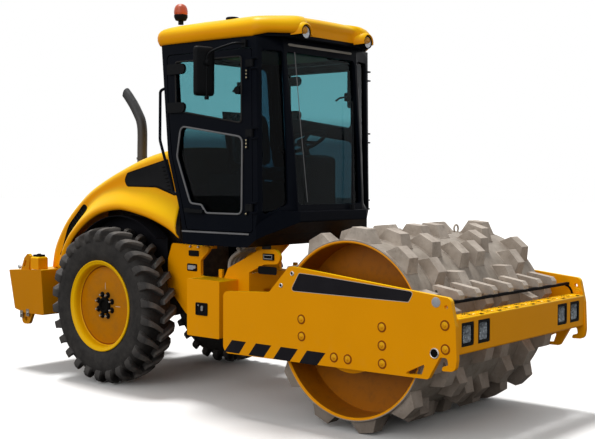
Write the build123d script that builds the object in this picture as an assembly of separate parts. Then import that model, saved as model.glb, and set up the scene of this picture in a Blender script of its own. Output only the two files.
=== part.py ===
from build123d import *
import os
from math import atan2, cos, degrees, hypot, pi, radians, sin, sqrt

# A single-drum road roller with a pad-foot drum, in millimetres.
# +X is forward (the drum end), +Y is the machine's left, the ground is z = 0.
# The origin is on the ground under the middle of the overall length.

# Overall sizes
rear_overhang = 1450
axle_to_pivot = 1470
hitch_reach = 332
front_plate_gauge = 1860
cab_width = 1400
cab_floor_z = 1232
cab_height = 1613
roof_height = 155
hitch_axis_z = 700

# Wheels
tyre_radius = 670
tyre_width = 310
tyre_middle_y = 705
rim_radius = 356
rim_flange_radius = 388
rim_wall = 14
hub_radius = 125
spindle_radius = 55

# Drum
drum_radius = 630
drum_shell_wall = 25
drum_side_gap = 52
bulkhead_depth = 243
bulkhead_wall = 25
journal_radius = 80
pad_columns = 8
pads_per_column = 11
pad_height = 86
pad_tip_length = 125
pad_tip_width = 105
pad_base_length = 238
pad_base_width = 128
pad_edge_gap = 19.5

# Front frame
crossmember_depth = 88
crossmember_gap = 85
beam_gap = 81
beam_depth = 142
plate_wall = 35
support_disc_radius = 300
buffer_radius = 48
buffer_ring_radius = 200
tie_down_radius = 14
scraper_bar_rise = 249
scraper_tooth_width = 62

# Articulation
king_pin_radius = 30
trunnion_radius = 60
ear_gap_low = 160
ear_gap_high = 175
ear_wall = 35
ear_radius = 90
steer_base_back = 440
steer_base_y = 330
steer_eye_ahead = 150
steer_eye_side = 120
steer_drop = 60
steer_limit = 35
steer_pin_radius = 20
barrel_radius = 45
rod_radius = 24
hose_radius = 16
hose_count = 4
hose_pitch = 42
hose_outer_y = 430

# Rear frame and hood
rail_wall = 30
rail_half_gap = 470
hood_skin = 12
hood_half_width = 555
fender_edge_y = 665
hood_pin_radius = 10
hood_knuckle_radius = 18
hood_cheek_y = 380
hood_cheek_wall = 20
hood_cheek_gap = 40
exhaust_back = 425
exhaust_radius = 45
counterweight_half = 750
lug_hole_radius = 20

# Cab
cab_wall = 45
door_pin_radius = 6
door_knuckle_radius = 13
hinge_arm_lift = 4
glass_wall = 6

# Clearances
fit_gap = 0.05
seat_gap = 0.3
moving_gap = 6

# Places that follow from the sizes above
pad_tip_radius = drum_radius + pad_height
wheelbase = axle_to_pivot + hitch_reach + crossmember_depth + crossmember_gap + pad_tip_radius
overall_length = rear_overhang + wheelbase + pad_tip_radius + beam_gap + beam_depth
rear_x = -overall_length / 2
front_x = overall_length / 2
rear_axle_x = rear_x + rear_overhang
pivot_x = rear_axle_x + axle_to_pivot
drum_axle_x = rear_axle_x + wheelbase
drum_axle_z = pad_tip_radius
crossmember_x = (pivot_x + hitch_reach, pivot_x + hitch_reach + crossmember_depth)
beam_x = (front_x - beam_depth, front_x - 12)
plate_outer_y = front_plate_gauge / 2
scraper_bar_x = beam_x[0] - 6
scraper_bar_z = drum_axle_z + scraper_bar_rise
plate_inner_y = plate_outer_y - plate_wall
drum_half_width = plate_inner_y - drum_side_gap
bulkhead_y = drum_half_width - bulkhead_depth
pad_column_pitch = (2 * (drum_half_width - pad_edge_gap) - pad_base_width) / (pad_columns - 1)
lamp_places = (118 - plate_inner_y, 320 - plate_inner_y, plate_inner_y - 356, plate_inner_y - 155)
rail_outer_y = rail_half_gap + rail_wall
frame_low_z = hitch_axis_z - 220
ear_z = (hitch_axis_z - ear_gap_low, hitch_axis_z + ear_gap_high)
steer_base_x = pivot_x - steer_base_back
steer_z = hitch_axis_z - steer_drop
tyre_in_y = tyre_middle_y - tyre_width / 2
tyre_out_y = tyre_middle_y + tyre_width / 2

# The cab is drawn from its own datum behind the king pin, at this height, and stretched to cab_height.
cab_x = pivot_x - 380
cab_drawn_height = 1613
cab_half = cab_width / 2
cab_eaves_z = cab_floor_z + cab_height
cab_inner_floor_z = cab_floor_z + 108 * cab_height / cab_drawn_height
cab_mount_places = ((-160, -26), (465, -25))
cab_mount_y = rail_half_gap - 30
door_hinge_x = 560
door_hinge_y = cab_half + 14
door_hinge_heights = (1408, 878, 308)

# The hood is drawn from the rear axle and stretched to the overhang and to the king pin.
hood_rear_stretch = rear_overhang / 1450
hood_front_stretch = axle_to_pivot / 1470

parts = {}


def node(name, *solids):
    found = []
    for shape in solids:
        found.extend(shape.solids())
    parts[name] = Compound(children=found) if len(found) > 1 else found[0]


def cab_node(name, *solids):
    node(name, *[Pos(cab_x, 0, 0) * shape for shape in solids])


def block(x, y, z):
    middle = ((x[0] + x[1]) / 2, (y[0] + y[1]) / 2, (z[0] + z[1]) / 2)
    return Pos(*middle) * Box(x[1] - x[0], y[1] - y[0], z[1] - z[0])


def span(side, near, far):
    # Two y places on one side, lowest first.
    return tuple(sorted((side * near, side * far)))


def rounded(points, place):
    # Each point is two numbers and, where the corner is round, its radius.
    spots = [place(p[0], p[1]) for p in points]
    radii = [p[2] if len(p) > 2 else 0 for p in points]
    return make_face(FilletPolyline(*spots, radius=radii, close=True))


def moved_outline(points, dx, dz):
    return [(p[0] + dx, p[1] + dz, *p[2:]) for p in points]


def side_plate(points, y):
    face = rounded(points, lambda a, b: (a, y[0], b))
    return extrude(face, amount=y[1] - y[0], dir=(0, 1, 0))


def cross_plate(points, x):
    face = rounded(points, lambda a, b: (x[0], a, b))
    return extrude(face, amount=x[1] - x[0], dir=(1, 0, 0))


def flat_plate(points, z):
    face = rounded(points, lambda a, b: (a, b, z[0]))
    return extrude(face, amount=z[1] - z[0], dir=(0, 0, 1))


def along_x(x, y, z, radius):
    return Pos((x[0] + x[1]) / 2, y, z) * Rot(0, 90, 0) * Cylinder(radius, x[1] - x[0])


def along_y(x, y, z, radius):
    return Pos(x, (y[0] + y[1]) / 2, z) * Rot(90, 0, 0) * Cylinder(radius, y[1] - y[0])


def along_z(x, y, z, radius):
    return Pos(x, y, (z[0] + z[1]) / 2) * Cylinder(radius, z[1] - z[0])


def turned(profile, axle_x, axle_z):
    # The profile is (radius, y) points, turned about the axle.
    face = rounded(profile, lambda a, b: (axle_x + a, b, axle_z))
    return revolve(face, axis=Axis((axle_x, 0, axle_z), (0, 1, 0)), revolution_arc=360)


def tube_run(points, bend, radius):
    path = FilletPolyline(*points, radius=bend)
    start = Plane(origin=path @ 0, z_dir=path % 0)
    return sweep(start * Circle(radius), path=path)


def main_solid(shape):
    return max(shape.solids(), key=lambda s: s.volume)


# Rear frame
def rail_outline():
    engine_top = tyre_radius + 330
    engine_low = tyre_radius + 120
    floor = cab_floor_z
    x = pivot_x
    return [
        (rear_x + 495, engine_low, 10), (rear_x + 495, engine_top, 30),
        (x - 1020, engine_top, 60), (x - 940, floor - 17, 30), (x - 498, floor - 32, 12), (x - 505, floor - 67, 12),
        (x - 595, floor - 147, 20), (x - 595, hitch_axis_z + 255, 15), (x - 327, hitch_axis_z + 253, 10),
        (x - 281, hitch_axis_z + 340, 40), (x + 53, floor - 34, 50), (x + 224, floor - 18, 60),
        (x + 298, floor - 72, 50), (x + 252, floor - 132, 30), (x + 110, floor - 142, 40),
        (x - 47, hitch_axis_z + 318, 10), (x - 47, frame_low_z, 20), (x - 530, frame_low_z, 40),
        (x - 780, hitch_axis_z - 60, 60), (x - 940, engine_low, 60),
    ]


def cab_pads(side):
    pads = []
    for x, drop in cab_mount_places:
        top = cab_floor_z + drop
        pads.append(block((cab_x + x - 50, cab_x + x + 50), span(side, 415, rail_half_gap), (top - 22, top)))
    return pads


def steer_bracket(side):
    y = span(side, steer_base_y - 50, rail_half_gap)
    x = (steer_base_x - 50, steer_base_x + 45)
    low = block(x, y, (steer_z - 50, steer_z - 31))
    high = block(x, y, (steer_z + 31, steer_z + 50))
    pin = along_z(steer_base_x, side * steer_base_y, (steer_z - 60, steer_z + 60), steer_pin_radius)
    return low + high + pin


def rails():
    for name, side in (("left", 1), ("right", -1)):
        y = span(side, rail_half_gap, rail_outer_y)
        body = side_plate(rail_outline(), y)
        for x in (rear_axle_x - 110, rear_axle_x + 80):
            body += block((x, x + 30), y, (tyre_radius + 75, tyre_radius + 130))
        body += steer_bracket(side)
        for pad in cab_pads(side):
            body += pad
        node(name + "_rail", body)


def hitch_ear(z):
    back = pivot_x - 55
    outline = [
        (back, -ear_radius - 60), (pivot_x + ear_radius, -ear_radius, ear_radius - 5),
        (pivot_x + ear_radius, ear_radius, ear_radius - 5), (back, ear_radius + 60),
    ]
    return flat_plate(outline, z)


def hitch_bulkhead():
    inner = (-rail_half_gap, rail_half_gap)
    x = (pivot_x - 77, pivot_x - 47)
    body = block(x, inner, (frame_low_z, hitch_axis_z + 310))
    body -= block((x[0] - 10, x[1] + 10), (-330, 330), ear_z)
    body += hitch_ear((ear_z[0] - ear_wall, ear_z[0]))
    body += hitch_ear((ear_z[1], ear_z[1] + ear_wall))
    pin_z = (ear_z[0] - ear_wall - 15, ear_z[1] + ear_wall + 15)
    body += along_z(pivot_x, 0, pin_z, king_pin_radius)
    node("hitch_bulkhead", body)


def frame_plates():
    inner = (-rail_half_gap, rail_half_gap)
    plates = [block((rear_x + 495, rear_x + 525), inner, (tyre_radius + 130, tyre_radius + 330))]
    for x in (rear_axle_x - 550, rear_axle_x + 330):
        plates.append(block((x, x + 80), inner, (tyre_radius + 176, tyre_radius + 210)))
    belly = block((pivot_x - 610, pivot_x - 77), inner, (frame_low_z, frame_low_z + 12))
    belly += block((pivot_x - 630, pivot_x - 600), inner, (frame_low_z, hitch_axis_z + 200))
    plates.append(belly)
    node("frame_plates", *plates)


def hood_x(from_axle):
    stretch = hood_rear_stretch if from_axle < 0 else hood_front_stretch
    return rear_axle_x + from_axle * stretch


def hood_points(points):
    return [(hood_x(p[0]), tyre_radius + p[1], *p[2:]) for p in points]


top_line = hood_points([(530, 1342), (90, 1244), (-323, 1089), (-694, 877), (-992, 571), (-1115, 255)])
arch_line = [
    (rear_axle_x + x, tyre_radius + z)
    for x, z in ((-770, 255), (-643, 507), (-402, 701), (36, 814), (468, 734), (767, 605))
]
hood_foot_x = top_line[-1][0]
hood_foot_z = top_line[-1][1]
hood_hinge_x = hood_foot_x - 20
hood_hinge_z = hood_foot_z + 21


def hood_cheek(y):
    x = (hood_hinge_x - hood_knuckle_radius, hood_hinge_x + hood_knuckle_radius)
    foot = block(x, y, (hood_foot_z - 30, hood_hinge_z))
    return foot + along_y(hood_hinge_x, y, hood_hinge_z, hood_knuckle_radius)


def hood_knuckle(side):
    near = hood_cheek_y + hood_cheek_wall + 5
    y = span(side, near, near + hood_cheek_gap - 10)
    lug = along_y(hood_hinge_x, y, hood_hinge_z, hood_knuckle_radius)
    lug += block((hood_hinge_x, hood_foot_x + 9), y, (hood_hinge_z - 12, hood_hinge_z + hood_knuckle_radius))
    return lug - along_y(hood_hinge_x, (y[0] - 5, y[1] + 5), hood_hinge_z, hood_pin_radius + fit_gap)


def hood_hinge_cheeks(side):
    far_cheek_y = hood_cheek_y + hood_cheek_wall + hood_cheek_gap
    cheeks = hood_cheek(span(side, hood_cheek_y, hood_cheek_y + hood_cheek_wall))
    cheeks += hood_cheek(span(side, far_cheek_y, far_cheek_y + hood_cheek_wall))
    pin = span(side, hood_cheek_y, far_cheek_y + hood_cheek_wall)
    return cheeks + along_y(hood_hinge_x, pin, hood_hinge_z, hood_pin_radius)


def tow_lug(y):
    lug = [(150, -125), (180, -275, 40), (280, -275, 40), (340, -160)]
    plate = side_plate(moved_outline(lug, rear_x, tyre_radius), y)
    return plate - along_y(rear_x + 235, (y[0] - 5, y[1] + 5), tyre_radius - 230, lug_hole_radius)


def lamp_guard(y):
    guard = [(150, 210), (210, 340, 40), (265, 385, 20), (305, 360, 10), (278, 215)]
    slot = [(196, 262, 9), (226, 322, 9), (246, 312, 9), (216, 252, 9)]
    plate = side_plate(moved_outline(guard, rear_x, tyre_radius), y)
    return plate - side_plate(moved_outline(slot, rear_x, tyre_radius), (y[0] - 5, y[1] + 5))


def counterweight():
    outline = [(0, 218, 2), (495, 245, 8), (535, -170, 20), (240, -170, 10), (88, -139, 15)]
    half = counterweight_half
    body = side_plate(moved_outline(outline, rear_x, tyre_radius), (-half, half))
    pocket_y = rail_outer_y + 0.5
    pocket_z = (tyre_radius + 115, tyre_radius + 340)
    body -= block((rear_x + 490, rear_x + 540), (-pocket_y, pocket_y), pocket_z)
    for side in (-1, 1):
        y = span(side, half - 50, half - 20)
        body += tow_lug(y)
        body += lamp_guard(y)
        body += hood_hinge_cheeks(side)
    node("counterweight", body)


def tail_lamps():
    lamps = []
    for side in (-1, 1):
        y = span(side, counterweight_half - 120, counterweight_half - 15)
        base = block((rear_x + 315, rear_x + 435), y, (tyre_radius + 242, tyre_radius + 360))
        top = [e for e in base.edges() if e.center().Z > tyre_radius + 359]
        lamps.append(fillet(top, 22) - parts["counterweight"])
    node("tail_lamps", *lamps)


def rear_axle():
    body = along_y(rear_axle_x, (-rail_outer_y - 20, rail_outer_y + 20), tyre_radius, 75)
    body += Pos(rear_axle_x, 0, tyre_radius) * Sphere(165)
    for side in (-1, 1):
        y = span(side, rail_outer_y - 80, rail_outer_y)
        body += block((rear_axle_x - 110, rear_axle_x + 110), y, (tyre_radius - 70, tyre_radius + 75))
        end = span(side, rail_outer_y + 15, tyre_in_y + 60)
        body += along_y(rear_axle_x, end, tyre_radius, spindle_radius)
    node("rear_axle", body)


def engine():
    x = (rear_axle_x - 550, rear_axle_x + 410)
    node("engine", block(x, (-300, 300), (tyre_radius + 210, tyre_radius + 810)))


def arch_liner(side):
    y = span(side, rail_outer_y, fender_edge_y - 25)
    centre_z = tyre_radius + 20
    outer = tyre_radius + 75
    ring = along_y(rear_axle_x, y, centre_z, outer) - along_y(rear_axle_x, y, centre_z, outer - 6)
    wall = along_y(rear_axle_x, span(side, rail_outer_y, rail_outer_y + 6), centre_z, outer)
    keep = block((rear_axle_x - outer, rear_axle_x + 480), y, (tyre_radius + 235, tyre_radius + 800))
    return (ring + wall) & keep


def battery_box(side):
    x = (pivot_x - 530, pivot_x - 165)
    z = (hitch_axis_z - 200, hitch_axis_z + 258)
    outline = [(x[0], z[0], 12), (x[0], z[1], 12), (x[1], z[1], 12), (x[1], z[0], 12)]
    return side_plate(outline, span(side, rail_outer_y, rail_outer_y + 215))


def cab_mounts():
    mounts = []
    for x, drop in cab_mount_places:
        for side in (-1, 1):
            mount = along_z(cab_x + x, side * cab_mount_y, (cab_floor_z + drop, cab_floor_z), 36)
            mounts.append(mount)
    node("cab_mounts", *mounts)


def hoses():
    # They leave the bulkhead toward the rear, turn up and end at the cab's floor, held by one clip on the rail.
    back, turn, rise = pivot_x - 285, pivot_x - 360, pivot_x - 73
    low, top = hitch_axis_z + 235, cab_inner_floor_z - 24
    corner = (turn, low + 150)
    bend = (rise, top - 45)
    slope = degrees(atan2(bend[1] - corner[1], bend[0] - corner[0]))
    pieces = []
    for i in range(hose_count):
        y = -hose_outer_y + i * hose_pitch
        route = [(pivot_x - 77, low), (back, low), corner, bend, (rise, top)]
        pieces.append(tube_run([(x, y, z) for x, z in route], [80, 100, 60], hose_radius))
    middle = Pos((corner[0] + bend[0]) / 2 + 20, 0, (corner[1] + bend[1]) / 2 + 13) * Rot(0, -slope, 0)
    inner_y = -hose_outer_y + (hose_count - 1) * hose_pitch + hose_radius
    clip_y = (-rail_half_gap, inner_y)
    clip = block((-15, 15), clip_y, (-hose_radius - 12, -hose_radius))
    clip += block((-15, 15), clip_y, (hose_radius, hose_radius + 5))
    clip += block((-15, 15), (clip_y[0], -hose_outer_y - hose_radius - 2), (-hose_radius - 12, hose_radius + 5))
    node("hoses", *pieces, middle * clip)


# Cab
def up(height):
    return cab_floor_z + height * cab_height / cab_drawn_height


def raised(points):
    return [(p[0], up(p[1]), *p[2:]) for p in points]


def cab_sections():
    # Each is height, rear x, side corner x, front corner x, and how far that corner is inside the side.
    return [
        (0, -215, 530, 590, 270),
        (113, -221, 575, 660, 280),
        (280, -255, 612, 762, 295),
        (718, -390, 603, 734, 279),
        (cab_drawn_height, -466, 590, 646, 239),
    ]


def cab_form(inset):
    faces = []
    for height, back, corner, nose, tuck in cab_sections():
        half = cab_half - inset
        nose_y = cab_half - tuck - inset * 0.45
        right = [(back + inset, -half), (corner - inset * 0.55, -half), (nose - inset * 1.15, -nose_y)]
        left = [(x, -y) for x, y in reversed(right)]
        spots = [(x, y, up(height)) for x, y in right + left]
        faces.append(make_face(Polyline(*spots, close=True)))
    return loft(faces, ruled=True)


def door_outline(gap):
    lean = gap * 1.4
    outline = [(-165, 120, 30), (-232, 368, 60), (-340, 718, 80), (-380, 1068, 80), (-398, 1525, 40)]
    back = [(x - lean, up(height), radius) for x, height, radius in outline]
    back[0] = (back[0][0], back[0][1] - gap, back[0][2])
    back[-1] = (back[-1][0], back[-1][1] + gap, back[-1][2])
    return back + [(540 + gap, up(1525) + gap, 30), (556 + gap, up(120) - gap, 30)]


upper_window = raised([(-300, 1468, 30), (438, 1468, 30), (440, 958, 40), (-238, 1068, 40), (-290, 1113, 20)])
lower_window = raised([
    (-232, 950, 60), (453, 850, 60), (447, 256, 50), (60, 256, 45), (5, 321, 30), (-120, 330, 50), (-276, 703, 90),
])


def cab_base_block():
    profile = raised([
        (-217, 0), (500, 0, 60), (640, 98, 60), (800, 198, 15), (800, 280, 8),
        (690, 280), (610, 198), (560, 108), (-220, 108),
    ])
    nose_y = cab_half - 285
    plan = [
        (-300, -cab_half), (592, -cab_half), (805, -nose_y, 20), (805, nose_y, 20), (592, cab_half), (-300, cab_half),
    ]
    return side_plate(profile, (-cab_half, cab_half)) & flat_plate(plan, (cab_floor_z - 30, up(300)))


def cab_base():
    pocket = block((-100, 400), (-cab_half + 40, cab_half - 40), (cab_floor_z - 10, cab_inner_floor_z - 24))
    cab_node("cab_base", cab_base_block() - pocket)


def window_face(low, high, low_half, high_half, radius):
    return [
        (-low_half, up(low), radius), (low_half, up(low), radius), (high_half, up(high), radius),
        (-high_half, up(high), radius),
    ]


def quarter_cutter(side):
    # A slab at right angles to the quarter panel, narrower than the panel by its frame.
    a = (604, side * cab_half)
    b = (735, side * (cab_half - 275))
    run = hypot(b[0] - a[0], b[1] - a[1])
    angle = degrees(atan2(b[1] - a[1], b[0] - a[0]))
    half = run / 2 - 42
    outline = raised([(-half, 248, 30), (half - 10, 330, 30), (half - 30, 1513, 30), (-half, 1513, 30)])
    slab = side_plate(outline, (-120, 120))
    return Pos((a[0] + b[0]) / 2, (a[1] + b[1]) / 2, 0) * Rot(0, 0, angle) * slab


def window_cutters():
    front = window_face(328, 1513, cab_half - 300, cab_half - 270, 35)
    back = window_face(468, 1508, cab_half - 140, cab_half - 140, 60)
    return {
        "windshield": cross_plate(front, (560, 900)),
        "rear_glass": cross_plate(back, (-600, -150)),
        "quarter_right": quarter_cutter(-1),
        "quarter_left": quarter_cutter(1),
    }


def cab_hinge(side, z):
    # Two arms reach from the pillar over the door's edge and hold the pin.
    arms = along_z(door_hinge_x, side * door_hinge_y, (z - 44, z + 44), door_pin_radius)
    for low in (z - 44, z + 32):
        over = span(side, cab_half + hinge_arm_lift, door_hinge_y + 9)
        root = span(side, cab_half - 10, cab_half + hinge_arm_lift + 1)
        arms += block((door_hinge_x - 9, door_hinge_x + 46), over, (low, low + 12))
        arms += block((door_hinge_x + 10, door_hinge_x + 46), root, (low, low + 12))
    return arms


def door_knuckle(side, z):
    y = span(side, cab_half, door_hinge_y + 9)
    leaf = block((door_hinge_x - 60, door_hinge_x), y, (z - 27, z + 27))
    leaf += along_z(door_hinge_x, side * door_hinge_y, (z - 27, z + 27), door_knuckle_radius)
    return leaf - along_z(door_hinge_x, side * door_hinge_y, (z - 40, z + 40), door_pin_radius + fit_gap)


def cab_frame():
    room = block((-700, 900), (-cab_half, cab_half), (cab_floor_z, cab_eaves_z))
    shell = (cab_form(0) - cab_form(cab_wall)) & room
    shell += cab_form(0) & block((-700, 900), (-cab_half, cab_half), (cab_eaves_z - 18, cab_eaves_z))
    shell -= cab_base_block()
    shell -= block((-700, 900), (-cab_half, cab_half), (cab_floor_z - 30, cab_inner_floor_z))
    for side in (-1, 1):
        shell -= side_plate(door_outline(moving_gap), span(side, cab_half - cab_wall - 40, cab_half + 10))
    for cut in window_cutters().values():
        shell -= cut
    for side in (-1, 1):
        for height in door_hinge_heights:
            shell += cab_hinge(side, up(height))
    cab_node("cab_frame", main_solid(shell))


def cab_glass():
    outer = cab_wall - 20
    skin = cab_form(outer) - cab_form(outer + glass_wall)
    cuts = window_cutters()
    cab_node("windshield", skin & cuts["windshield"])
    cab_node("quarter_glass", skin & cuts["quarter_right"], skin & cuts["quarter_left"])
    cab_node("rear_glass", skin & cuts["rear_glass"])


def door_hardware(side):
    face = span(side, cab_half, cab_half + 22)
    pieces = []
    for height in (1410, 1100):
        z = up(height)
        clamp = [(-378, z - 42, 12), (-378, z + 42, 12), (-175, z + 42, 40), (-175, z - 42, 40)]
        pieces.append(side_plate(clamp, face))
    z = up(258)
    handle = [(-160, z, 15), (-160, z + 35, 15), (48, z + 22, 10), (48, z - 4, 10)]
    pieces.append(side_plate(handle, span(side, cab_half, cab_half + 40)))
    pieces.append(along_y(405, span(side, cab_half - 16, cab_half + 20), up(1208), 30))
    pieces.extend(door_knuckle(side, up(height)) for height in door_hinge_heights)
    return pieces


def door(name, side):
    outer = span(side, cab_half - cab_wall, cab_half)
    glass_y = span(side, cab_half - 16 - glass_wall, cab_half - 16)
    body = side_plate(door_outline(0), outer)
    for window in (upper_window, lower_window):
        body -= side_plate(window, (outer[0] - 5, outer[1] + 5))
    cab_node(name + "_door", body)
    cab_node(name + "_door_glass", *[side_plate(window, glass_y) for window in (upper_window, lower_window)])
    cab_node(name + "_door_hardware", *door_hardware(side))


def mirror_piece(name, side):
    middle = cab_half + 285
    low, high = up(1153), up(1540)
    head = [(196, low, 45), (196, high, 45), (436, high, 45), (436, low, 45)]
    body = side_plate(head, span(side, middle - 28, middle + 28))
    faces = [e for e in body.edges() if abs(abs(e.center().Y) - middle - 28) < 1]
    body = fillet(faces, 14)
    route = [
        (520, side * (cab_half - 5), high - 37), (505, side * (cab_half + 45), high - 27),
        (330, side * (cab_half + 200), high - 57), (330, side * (cab_half + 260), high - 172),
    ]
    arm = tube_run(route, [12, 30], 10)
    door_side = block((400, 640), span(side, cab_half - 60, cab_half), (high - 172, high + 28))
    cab_node(name, body + (arm - door_side))


def roof():
    plan = [(-523, -cab_half, 110), (560, -cab_half - 22, 60), (778, 180 - cab_half, 70), (790, 0)]
    plan += [(p[0], -p[1], p[2]) for p in reversed(plan[:3])]
    face = rounded(plan, lambda a, b: (a, b, cab_eaves_z))
    body = extrude(face, amount=roof_height, dir=(0, 0, 1), taper=14)
    top = [e for e in body.edges() if e.center().Z > cab_eaves_z + roof_height - 1]
    body = fillet(top, 45)
    for side in (-1, 1):
        body -= along_x((700, 830), side * (cab_half - 315), cab_eaves_z + 48, 52)
    cab_node("roof", body)


def roof_lamps():
    y = cab_half - 315
    cab_node("roof_lamps", *[along_x((700, 765), side * y, cab_eaves_z + 48, 46) for side in (-1, 1)])


def beacon():
    x, y = cab_x - 400, 152 - cab_half
    top = cab_eaves_z + roof_height
    base = along_z(x, y, (top - 40, top + 50), 62) - parts["roof"]
    lens = along_z(x, y, (top + 50, top + 200), 58)
    lens = fillet([e for e in lens.edges() if e.center().Z > top + 199], 30)
    node("beacon", base + lens)


def handrail(side):
    y = side * (cab_half - 20)
    route = [(-420, 1273), (-505, 1248), (-510, 843), (-453, 694), (-345, 416), (-240, 368)]
    points = [(x, y, up(height)) for x, height in route]
    return tube_run(points, [30, 120, 120, 40], 12) - cab_form(0)


def wiper():
    y = cab_half - 450
    route = [(785, y, up(308)), (745, y + 50, up(828)), (714, y + 80, up(1168))]
    body = tube_run(route, [400], 6) + along_z(785, y, (up(280), up(280) + 40), 16)
    cab_node("wiper", body)


# Cab inside
def seat():
    floor = cab_inner_floor_z
    base = block((-110, 170), (-180, 180), (floor, floor + 360))
    base += block((-160, 260), (-240, 240), (floor + 360, floor + 395))
    shell = [(-160, 360), (-268, 985, 8), (-250.5, 985, 8), (-142, 360)]
    base += side_plate(moved_outline(shell, 0, floor), (-200, 200))
    low = 395 + seat_gap
    bottom = [(-140, low, 20), (-140, 500, 30), (280, 510, 50), (280, low, 30)]
    back = [(-167.6, 510, 10), (-249.2, 980, 40), (-165, 995, 40), (-30, 513, 20)]
    cushions = [
        side_plate(moved_outline(bottom, 0, floor), (-245, 245)),
        side_plate(moved_outline(back, 0, floor), (-225, 225)),
    ]
    cab_node("seat_base", base)
    cab_node("seat_cushions", *cushions)


def console():
    profile = raised([(420, 108), (420, 528, 30), (520, 728, 30), (640, 698, 40), (640, 280.3), (560, 108)])
    body = side_plate(profile, (-200, 200)) - cab_base_block()
    for side in (-1, 1):
        y = span(side, cab_half - 400, cab_half - 230)
        body += block((-150, 300), y, (cab_inner_floor_z, cab_inner_floor_z + 460))
    return body


def steering_wheel():
    tilt = Pos(455, 0, up(828)) * Rot(0, -25, 0)
    wheel = tilt * Torus(190, 16)
    wheel += tilt * Cylinder(45, 40)
    for turn in (90, 210, 330):
        wheel += tilt * Rot(0, 0, turn) * Pos(105, 0, 0) * Box(180, 34, 12)
    post = tilt * Pos(0, 0, -105) * Cylinder(28, 200)
    return wheel + (post - console())


# Hood, hinged at its rear foot
panel_outline = hood_points([
    (-20, 1070, 45), (15, 1133, 30), (550, 1255, 10), (620, 1030, 10), (643, 942, 10), (390, 1020, 200), (5, 1020, 45),
])
vent_outline = hood_points([
    (-582, 830, 25), (-542, 795, 25), (-650, 640, 300), (-815, 415, 30), (-910, 425, 30), (-790, 660, 300),
])


def spline_face(upper, lower, y):
    # A face in the plane of one y, between two lines of (x, z) points.
    top = Spline(*[(x, y, z) for x, z in upper])
    low = Spline(*[(x, y, z) for x, z in lower])
    ends = [Line(top @ 0, low @ 0), Line(top @ 1, low @ 1)]
    return make_face(Wire([top.edge(), ends[0].edge(), low.edge(), ends[1].edge()]))


def hood_core(inset):
    half = hood_half_width - inset
    top = Spline(*[(x + inset * 0.8, -half, z - inset) for x, z in top_line])
    reach = 40 if inset else 0
    front = hood_points([(755, 703), (563, 1315)])
    foot = Polyline(
        top @ 1, (front[0][0] + reach, -half, hood_foot_z - inset), (front[0][0] + reach, -half, front[0][1]),
        (front[1][0] + reach, -half, front[1][1]), top @ 0,
    )
    body = extrude(make_face([top, foot]), amount=2 * half, dir=(0, 1, 0))
    edges = [e for e in body.edges() if e.geom_type == GeomType.BSPLINE]
    return fillet(edges, 90 - inset)


def flare(inset, side):
    drop = 60 if inset else 0
    last = len(arch_line) - 1
    base = [(x, z - drop) for x, z in arch_line]
    wide = [(x, z + 45 + 190 * sin(pi * i / last) - inset) for i, (x, z) in enumerate(arch_line)]
    slim = [(x, z + 45 - inset) for x, z in arch_line]
    near = spline_face(wide, base, side * (hood_half_width - 15 - inset))
    far = spline_face(slim, base, side * (fender_edge_y - inset))
    return loft([near, far])


def arch_cut():
    y = -fender_edge_y - 100
    top = Spline(*[(x, y, z) for x, z in arch_line])
    low = tyre_radius + 130
    right = arch_line[-1][0] + 73
    rim = Polyline(top @ 1, (right, y, arch_line[-1][1] - 75), (right, y, low), (arch_line[0][0], y, low), top @ 0)
    return extrude(make_face([top, rim]), amount=-2 * y, dir=(0, 1, 0))


def hood():
    shell = hood_core(0) + flare(0, -1) + flare(0, 1)
    shell -= hood_core(hood_skin)
    shell -= flare(hood_skin, -1)
    shell -= flare(hood_skin, 1)
    shell -= arch_cut()
    panels = []
    for outline in (panel_outline, vent_outline):
        for side in (-1, 1):
            panels.append(side_plate(outline, span(side, hood_half_width - hood_skin, hood_half_width + 3)))
    for panel in panels:
        shell -= panel
    exhaust_x = rear_axle_x - exhaust_back
    shell -= along_z(exhaust_x, 0, (tyre_radius + 830, tyre_radius + 1430), exhaust_radius + seat_gap)
    shell += hood_knuckle(-1) + hood_knuckle(1)
    node("hood", shell)
    node("hood_panels", *panels)


def exhaust():
    x = rear_axle_x - exhaust_back
    z = tyre_radius
    path = [(x, 0, z + 980), (x, 0, z + 1675), (x - 235, 0, z + 1905)]
    body = tube_run(path, [140], exhaust_radius) - tube_run(path, [140], exhaust_radius - 4)
    node("exhaust", body)


# Rear wheels
def tyre(side):
    y_in, y_out = side * tyre_in_y, side * tyre_out_y
    seat_radius = rim_radius + seat_gap
    bead = rim_flange_radius + 4
    half = [
        (seat_radius, 24), (bead, 24, 4), (bead + 14, 7, 10), (tyre_radius - 150, 0, 60),
        (tyre_radius - 45, 4, 30), (tyre_radius, 30, 25),
    ]
    profile = [(p[0], y_in + side * p[1], *p[2:]) for p in half]
    profile += [(p[0], y_out - side * p[1], *p[2:]) for p in reversed(half)]
    return turned(profile, rear_axle_x, tyre_radius)


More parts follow.
